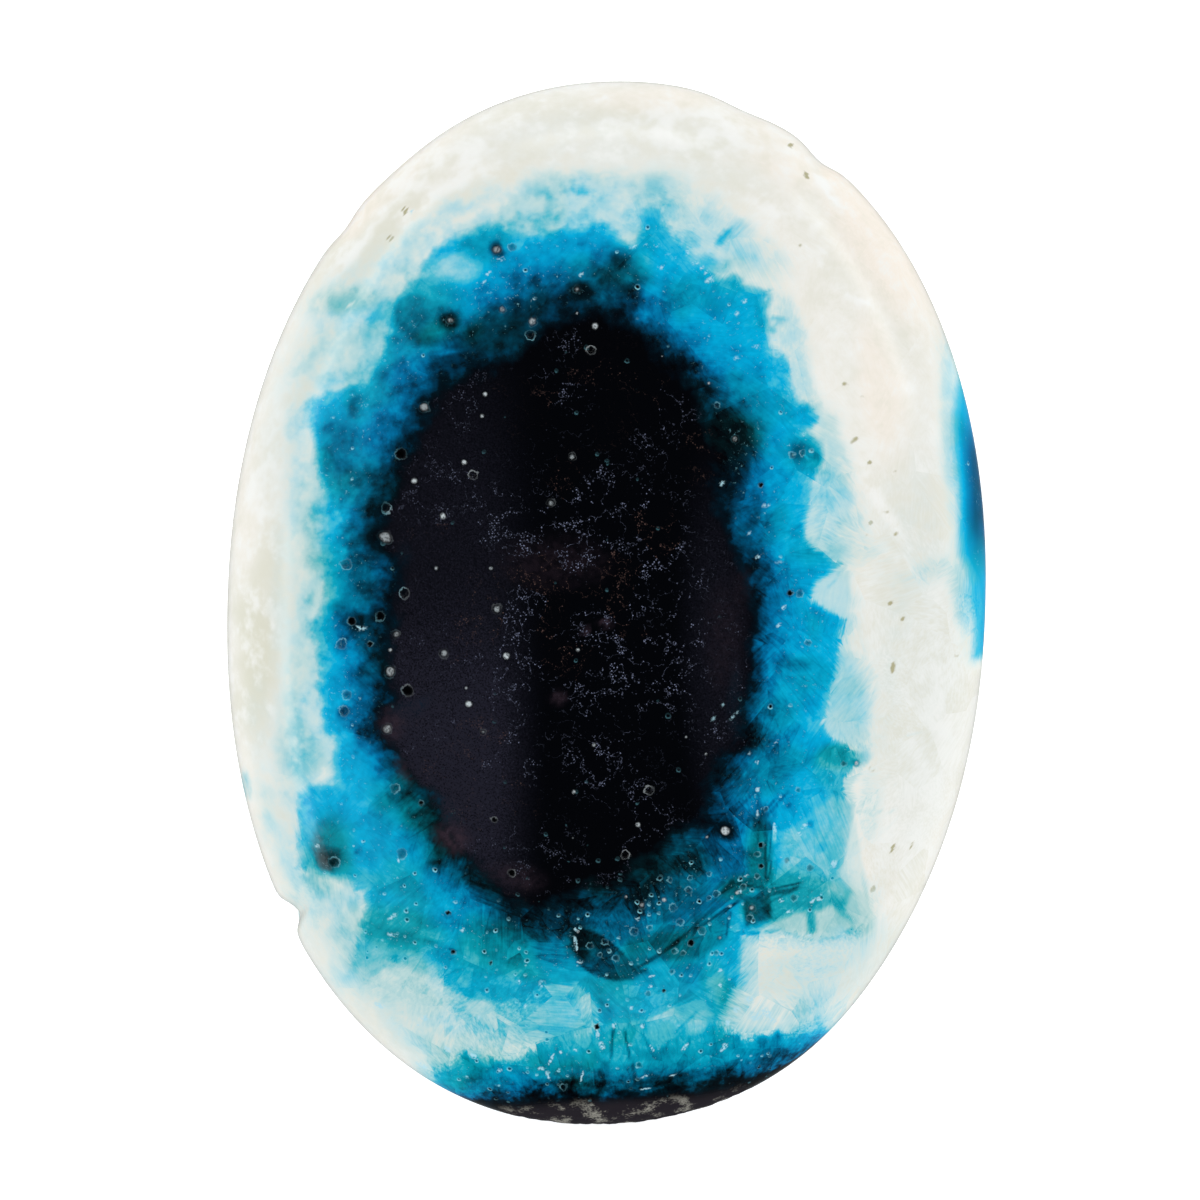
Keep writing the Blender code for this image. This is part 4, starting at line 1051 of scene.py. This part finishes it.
def polished_nakauriite():
    """The polished rock, with its halo, core, crystals, bubbles, dust and grains."""
    material = bpy.data.materials.new("polished_nakauriite")
    material.use_nodes = True
    tree = material.node_tree
    surface = tree.nodes["Principled BSDF"]

    def kept(name):
        return add_node(tree, "ShaderNodeAttribute", attribute_name=name).outputs["Fac"]

    object_place = tree.nodes.new("ShaderNodeTexCoord").outputs["Object"]
    place = stretch(tree, object_place, 1.0 / pixel)
    blades = add_node(tree, "ShaderNodeGroup", node_tree=crystal_blades())
    tree.links.new(place, blades.inputs["Place"])
    tree.links.new(sum_up(tree, "GREATER_THAN", kept("band"), 0.5), blades.inputs["Upright"])
    bubbles = add_node(tree, "ShaderNodeGroup", node_tree=cut_bubbles())
    tree.links.new(place, bubbles.inputs["Place"])
    tree.links.new(sum_up(tree, "MULTIPLY", kept("bubbly"), 0.42), bubbles.inputs["Amount"])

    crisp = kept("crisp")
    black = kept("black")
    soft = clouds(tree, place, 24.0, 2.0, 0.55).outputs["Fac"]
    fine = clouds(tree, place, 7.0, 2.0, 0.6).outputs["Fac"]
    broad = clouds(tree, place, 70.0, 2.0).outputs["Fac"]
    specks = clouds(tree, place, 2.4, 1.0).outputs["Fac"]
    turned = add_node(tree, "ShaderNodeVectorRotate", {"Vector": place, "Angle": 0.6}).outputs[0]
    web = clouds(tree, turned, 3.6, 3.0, 0.75).outputs["Fac"]

    # The halo's edge, in pixels from the drawn outline
    soft_rag = sum_up(tree, "ADD", swing(tree, soft, 13.0), swing(tree, fine, 6.0))
    blade_rag = sum_up(tree, "ADD", swing(tree, blades.outputs["Tint"], 5.0), swing(tree, blades.outputs["Needles"], 8.0))
    rag = between(tree, crisp, soft_rag, blade_rag)
    rag = sum_up(tree, "MULTIPLY", rag, rise(tree, kept("smooth"), 0.0, 1.0, 1.0, 0.15))
    edge = sum_up(tree, "ADD", kept("blue"), rag)
    softness = between(tree, kept("smooth"), between(tree, crisp, 15.0, 4.0), 13.0)
    inside = sum_up(tree, "DIVIDE", edge, softness)
    inside = sum_up(tree, "ADD", inside, 0.5, clamp=True)

    # Tone inside the halo, darker towards the core
    room = sum_up(tree, "MAXIMUM", sum_up(tree, "SUBTRACT", edge, black), 1.0)
    depth = sum_up(tree, "DIVIDE", edge, room, clamp=True)
    core_place = sum_up(tree, "ADD", black, sum_up(tree, "ADD", swing(tree, soft, 26.0), swing(tree, fine, 10.0)))
    tone_in = sum_up(tree, "ADD", sum_up(tree, "MULTIPLY_ADD", depth, 0.10, 0.42), kept("deepen"))
    soft_share = rise(tree, sum_up(tree, "ADD", soft, swing(tree, fine, 0.2)), 0.3, 0.7, 0.65, 1.4)
    blade_share = sum_up(tree, "ADD", swing(tree, blades.outputs["Needles"], 1.5), swing(tree, blades.outputs["Tint"], 0.4))
    blade_share = sum_up(tree, "ADD", sum_up(tree, "ADD", blade_share, swing(tree, blades.outputs["Bundle"], 0.4)), 1.0)
    wash = sum_up(tree, "MULTIPLY", kept("wash"), between(tree, crisp, soft_share, blade_share))
    wash = sum_up(tree, "MAXIMUM", wash, 0.0)
    tone = between(tree, inside, wash, tone_in)

    # The listed facets, seams and strokes
    bare = sum_up(tree, "SUBTRACT", 1.0, kept("mark_cover"))
    tone = sum_up(tree, "MULTIPLY_ADD", tone, bare, kept("mark_paint"))

    # Navy near the core
    away = sum_up(tree, "MAXIMUM", sum_up(tree, "SUBTRACT", HAZE_START, core_place), 0.0)
    near_core = sum_up(tree, "DIVIDE", away, kept("haze"))
    near_core = sum_up(tree, "MULTIPLY", sum_up(tree, "POWER", near_core, HAZE_POWER), -1.0)
    near_core = sum_up(tree, "POWER", 2.718, near_core)
    near_core = sum_up(tree, "MULTIPLY", near_core, rise(tree, kept("veil"), 0.0, 1.0, 0.97, 0.86))
    tone = between(tree, near_core, tone, 0.97)

    # Crystals and clouds lighten and darken the blue
    room_to_change = sum_up(
        tree, "MULTIPLY", rise(tree, tone, 0.04, 0.40, 0.10, 1.0), rise(tree, tone, 0.80, 1.0, 1.0, 0.3),
    )
    room_to_change = sum_up(tree, "MULTIPLY", room_to_change, rise(tree, kept("smooth"), 0.0, 1.0, 1.0, 0.1))
    crystal = sum_up(tree, "ADD", swing(tree, blades.outputs["Tint"], 0.09), swing(tree, blades.outputs["Needles"], 0.20))
    crystal = sum_up(tree, "ADD", crystal, swing(tree, web, 0.14))
    crystal = sum_up(tree, "ADD", crystal, swing(tree, blades.outputs["Bundle"], 0.13))
    crystal = sum_up(tree, "MULTIPLY_ADD", blades.outputs["Seam"], 0.035, crystal)
    crystal = sum_up(tree, "MULTIPLY", crystal, between(tree, crisp, 0.30, 1.0))
    cloud = sum_up(tree, "ADD", swing(tree, soft, 0.34), swing(tree, fine, 0.16))
    cloud = sum_up(tree, "ADD", cloud, swing(tree, broad, 0.16))
    cloud = sum_up(tree, "MULTIPLY", cloud, between(tree, crisp, 1.0, 0.75))
    change = sum_up(tree, "ADD", crystal, cloud)
    tone = sum_up(tree, "MULTIPLY_ADD", change, room_to_change, tone)
    in_blue = rise(tree, tone, 0.20, 0.42)
    # Painted shade in the holes of cut bubbles darkens the blue
    hole = sum_up(tree, "MULTIPLY", bubbles.outputs["Hole_Shade"], in_blue)
    tone = sum_up(tree, "MULTIPLY_ADD", hole, 0.26, tone)
    core = rise(tree, core_place, 0.0, 18.0)
    tone = between(tree, sum_up(tree, "MULTIPLY", core, rise(tree, kept("veil"), 0.0, 1.0, 1.0, 0.25)), tone, 1.0)

    # Colours
    teal_share = sum_up(tree, "ADD", kept("teal"), rise(tree, broad, 0.45, 0.65, 0.0, 0.5), clamp=True)
    blue_colour = blend(tree, teal_share, tone_colour(tree, tone, TONES), tone_colour(tree, tone, TEAL_TONES))

    ground = blend(tree, kept("olive"), CREAM, OLIVE_CREAM)
    ground = blend(tree, kept("peach"), ground, PEACH_CREAM)
    grey_share = sum_up(tree, "MULTIPLY", kept("grey"), rise(tree, soft, 0.35, 0.65, 0.55, 1.0))
    ground = blend(tree, grey_share, ground, PALE_GREY)
    # Chalky white patches, and a painted highlight along the chipped rim
    ground = blend(tree, sum_up(tree, "MULTIPLY", kept("chalk_and_glint"), rise(tree, soft, 0.3, 0.6)), ground, CHALK_AND_GLINT_WHITE)
    crystal_milk = sum_up(tree, "ADD", blades.outputs["Needles"], swing(tree, blades.outputs["Bundle"], 0.40))
    crystal_milk = sum_up(tree, "ADD", crystal_milk, swing(tree, broad, 0.40))
    cloud_milk = sum_up(tree, "ADD", soft, swing(tree, fine, 0.30))
    milk = between(tree, sum_up(tree, "MULTIPLY", crisp, 0.7), cloud_milk, crystal_milk)
    milk_share = sum_up(tree, "MULTIPLY", rise(tree, milk, 0.46, 0.76, 0.0, 0.75), rise(tree, kept("grey"), 0.0, 1.0, 1.0, 0.4))
    ground = blend(tree, milk_share, ground, CHALK_AND_GLINT_WHITE)
    ground = blend(tree, rise(tree, milk, 0.24, 0.54, between(tree, crisp, 0.28, 0.42), 0.0), ground, OLIVE_CREAM)
    speck_share = sum_up(tree, "MULTIPLY", kept("specks"), rise(tree, fine, 0.3, 0.6, 0.6, 1.2))
    ground = blend(tree, rise(tree, speck_share, 0.2, 0.8), ground, SPECK_OLIVE)
    colour = blend(tree, rise(tree, tone, 0.0, 0.12), ground, blue_colour)

    # Painted highlights on one side of bubble rims, white grains and sparkles
    lip_highlight = sum_up(tree, "MULTIPLY", bubbles.outputs["Lip_Highlight"], in_blue)
    lip_highlight = sum_up(tree, "MULTIPLY", lip_highlight, rise(tree, black, -14.0, 0.0, 0.8, 0.15))
    colour = blend(tree, lip_highlight, colour, HIGHLIGHT_AND_SPARKLE_AQUA)
    grain = sum_up(tree, "MULTIPLY", kept("grains"), rise(tree, specks, 0.3, 0.6, 0.45, 1.5))
    colour = blend(tree, rise(tree, grain, 0.3, 1.3, 0.0, 0.8), colour, GRAIN_WHITE)
    sparkle = sum_up(tree, "MULTIPLY", rise(tree, web, 0.60, 0.72), rise(tree, soft, 0.40, 0.62))
    sparkle = sum_up(tree, "MULTIPLY", sparkle, sum_up(tree, "MULTIPLY", in_blue, rise(tree, black, -40.0, 8.0, 0.6, 0.0)))
    colour = blend(tree, sparkle, colour, HIGHLIGHT_AND_SPARKLE_AQUA)

    # Painted reflection: a grey film on the core standing in for mirrored soft light; then rust and dust in the core
    in_core = rise(tree, core_place, 3.0, 20.0)
    grit = clouds(tree, turned, 1.8, 2.0, 0.7).outputs["Fac"]
    grainy = rise(tree, grit, 0.25, 0.75, 0.2, 1.7)
    painted_reflection = sum_up(tree, "MULTIPLY", kept("painted_reflection"), sum_up(tree, "MULTIPLY", grainy, in_core), clamp=True)
    colour = blend(tree, painted_reflection, colour, REFLECTION_GREY)
    rust = sum_up(tree, "MULTIPLY", kept("rust"), rise(tree, fine, 0.3, 0.7, 0.3, 1.1), clamp=True)
    colour = blend(tree, sum_up(tree, "MULTIPLY", rust, rise(tree, black, -14.0, -2.0)), colour, RUST_BROWN)
    ridges = clouds(tree, turned, 30.0, 3.0, 0.6).outputs["Fac"]
    ridges = sum_up(tree, "ABSOLUTE", sum_up(tree, "SUBTRACT", ridges, 0.5))
    lines = rise(tree, ridges, 0.0, 0.008, 0.5, 0.0)
    web_share = sum_up(tree, "ADD", rise(tree, ridges, 0.0, 0.05, 0.6, 0.0), rise(tree, soft, 0.54, 0.72, 0.0, 1.0))
    web_share = sum_up(tree, "MULTIPLY_ADD", web_share, rise(tree, broad, 0.38, 0.60), 0.12, clamp=True)
    motes = cells(tree, turned, 2.0)
    mote_chance = add_node(tree, "ShaderNodeSeparateColor", {0: motes.outputs["Color"]})
    lit = sum_up(tree, "MULTIPLY_ADD", web_share, 0.90, sum_up(tree, "SUBTRACT", mote_chance.outputs[0], 1.0))
    mote = rise(tree, motes.outputs["Distance"], 0.05, 0.50, 1.0, 0.0)
    powder = sum_up(tree, "MULTIPLY", rise(tree, lit, 0.0, 0.60), mote)
    lines = sum_up(tree, "MULTIPLY", lines, sum_up(tree, "MULTIPLY", rise(tree, web, 0.46, 0.60), web_share))
    dust = sum_up(tree, "MAXIMUM", powder, lines)
    dust = sum_up(tree, "MULTIPLY", dust, sum_up(tree, "MULTIPLY", kept("dust"), in_core))
    dust_colour = blend(tree, rise(tree, blades.outputs["Bundle"], 0.70, 0.72), DUST_BLUE, DUST_BROWN)
    colour = blend(tree, dust, colour, dust_colour)

    # Pits, with painted shade on their floors and a painted highlight round their rims, and the nodule's skin
    pit_edge = sum_up(tree, "ADD", kept("pit_edge"), swing(tree, specks, 3.6))
    shaded_pit_floor = sum_up(tree, "MULTIPLY", kept("pit_floor_shade"), rise(tree, pit_edge, -1.2, 0.8, 1.0, 0.0))
    colour = blend(tree, shaded_pit_floor, colour, PIT_SHADE_BLACK)
    # Painted highlight round each pit's rim, pale aqua in the halo and grey in the core
    ring = rise(tree, sum_up(tree, "ABSOLUTE", pit_edge), 0.1, 1.1, 1.0, 0.0)
    ring = sum_up(tree, "MULTIPLY", ring, kept("pit_rim_highlight"))
    pit_highlight_colour = blend(tree, in_core, HIGHLIGHT_AND_SPARKLE_AQUA, PIT_GRAINS_AND_HIGHLIGHT)
    colour = blend(tree, sum_up(tree, "MULTIPLY", ring, 0.48), colour, pit_highlight_colour)
    filling = rise(tree, kept("pit_edge"), -3.6, -1.0, 1.0, 0.0)
    filling = sum_up(tree, "MULTIPLY", filling, rise(tree, specks, 0.30, 0.62, 0.3, 1.15))
    filling = sum_up(tree, "MULTIPLY", filling, kept("pit_fill"), clamp=True)
    colour = blend(tree, filling, colour, PIT_GRAINS_AND_HIGHLIGHT)
    sand = rise(tree, sum_up(tree, "ADD", soft, swing(tree, specks, 0.4)), 0.50, 0.72)
    skin = blend(tree, sand, SKIN_DARK, SKIN_SAND)
    colour = blend(tree, kept("skin"), colour, skin)

    tree.links.new(colour, surface.inputs["Base Color"])
    worn = sum_up(tree, "MAXIMUM", shaded_pit_floor, kept("skin"))
    roughness = between(tree, worn, rise(tree, fine, 0.3, 0.7, 0.08, 0.16), 0.6)
    tree.links.new(roughness, surface.inputs["Roughness"])
    rim_blue = sum_up(tree, "MAXIMUM", kept("smooth"), kept("band"))
    tree.links.new(between(tree, rim_blue, 0.5, 0.03), surface.inputs["Specular IOR Level"])
    surface.inputs["IOR"].default_value = 1.4
    surface.inputs["Metallic"].default_value = 0.0

    bump = add_node(tree, "ShaderNodeBump", {"Height": fine, "Strength": 0.05, "Distance": 0.0001})
    tree.links.new(bump.outputs["Normal"], surface.inputs["Normal"])
    return material


stone_mesh = smooth_stone()
cut_finer(stone_mesh, True)
cut_finer(stone_mesh, False)
smooth_points = points_of(stone_mesh)
carve_pits(stone_mesh)
map_markings(stone_mesh, smooth_points)
stone_mesh.shade_smooth()
stone_mesh.materials.append(polished_nakauriite())
polished_stone = bpy.data.objects.new("polished_stone", stone_mesh)
bpy.context.scene.collection.objects.link(polished_stone)
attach(polished_stone, "root")
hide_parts("stone")

# The floor
# A plain sheet of white paper, so wide that its edges never show. The polish mirrors it only
# dimly, which keeps the deep colours at the rim.
FLOOR_SIDE = 3.0
FLOOR_WHITE = paint(238, 238, 238)
FLOOR_MIRRORED = paint(126, 128, 128)
FLOOR_GLOW = 0.62

floor_mesh = bpy.data.meshes.new("floor")
half_side = FLOOR_SIDE / 2
floor_corners = [(-half_side, -half_side), (half_side, -half_side), (half_side, half_side), (-half_side, half_side)]
floor_mesh.from_pydata([(x, y, stone_low.z) for x, y in floor_corners], [], [(0, 1, 2, 3)])
floor_paper = bpy.data.materials.new("floor_paper")
floor_paper.use_nodes = True
floor_surface = floor_paper.node_tree.nodes["Principled BSDF"]
ray = floor_paper.node_tree.nodes.new("ShaderNodeLightPath")
paper_colour = blend(floor_paper.node_tree, ray.outputs["Is Glossy Ray"], FLOOR_WHITE, FLOOR_MIRRORED)
floor_paper.node_tree.links.new(paper_colour, floor_surface.inputs["Base Color"])
floor_paper.node_tree.links.new(paper_colour, floor_surface.inputs["Emission Color"])
floor_surface.inputs["Roughness"].default_value = 0.9
floor_surface.inputs["Emission Strength"].default_value = FLOOR_GLOW
floor_mesh.materials.append(floor_paper)
floor = bpy.data.objects.new("floor", floor_mesh)
bpy.context.scene.collection.objects.link(floor)

# The light
# Large soft panels stand low round the stone and light it without a mirror image. Strips nearer the
# ground give the polish its gloss, where they mirror in the pale rim and not in the dark colours.
PANEL_COUNT = 6
PANEL_DISTANCE = 0.5
PANEL_SIDE = 0.30
PANEL_LIFT = 32.0
PANEL_POWER = 0.87
STRIP_TURNS = (35.0, 90.0, 145.0, 190.0)
STRIP_LIFT = 20.0
STRIP_LENGTH = 0.30
STRIP_HEIGHT = 0.06
STRIP_POWER = 0.12
SKY = 1.0
CEILING = 0.02


def soft_light(name, turn, lift, length, height, power):
    """A soft light panel that stands at some turn and lift, in degrees, and faces the stone."""
    panel = bpy.data.lights.new(name, "AREA")
    panel.shape = "RECTANGLE"
    panel.size = length
    panel.size_y = height
    panel.energy = power
    around, up = np.radians(turn), np.radians(lift)
    light = bpy.data.objects.new(name, panel)
    light.location = (
        PANEL_DISTANCE * np.cos(up) * np.cos(around),
        PANEL_DISTANCE * np.cos(up) * np.sin(around),
        PANEL_DISTANCE * np.sin(up),
    )
    light.rotation_euler = (np.pi / 2 - up, 0.0, around + np.pi / 2)
    bpy.context.scene.collection.objects.link(light)
    return light


for number in range(PANEL_COUNT):
    turn = 360.0 * (number + 0.5) / PANEL_COUNT
    panel = soft_light(f"panel_{number}", turn, PANEL_LIFT, PANEL_SIDE, PANEL_SIDE, PANEL_POWER)
    panel.visible_glossy = False
for number, turn in enumerate(STRIP_TURNS):
    strip = soft_light(f"strip_{number}", turn, STRIP_LIFT, STRIP_LENGTH, STRIP_HEIGHT, STRIP_POWER)
    strip.visible_diffuse = False

world = bpy.data.worlds.new("studio")
world.use_nodes = True
world_ray = world.node_tree.nodes.new("ShaderNodeLightPath")
brightness = between(world.node_tree, world_ray.outputs["Is Camera Ray"], CEILING, SKY)
world.node_tree.nodes["Background"].inputs["Color"].default_value = (1.0, 1.0, 1.0, 1.0)
world.node_tree.links.new(brightness, world.node_tree.nodes["Background"].inputs["Strength"])
bpy.context.scene.world = world
bpy.context.scene.view_settings.view_transform = "Standard"
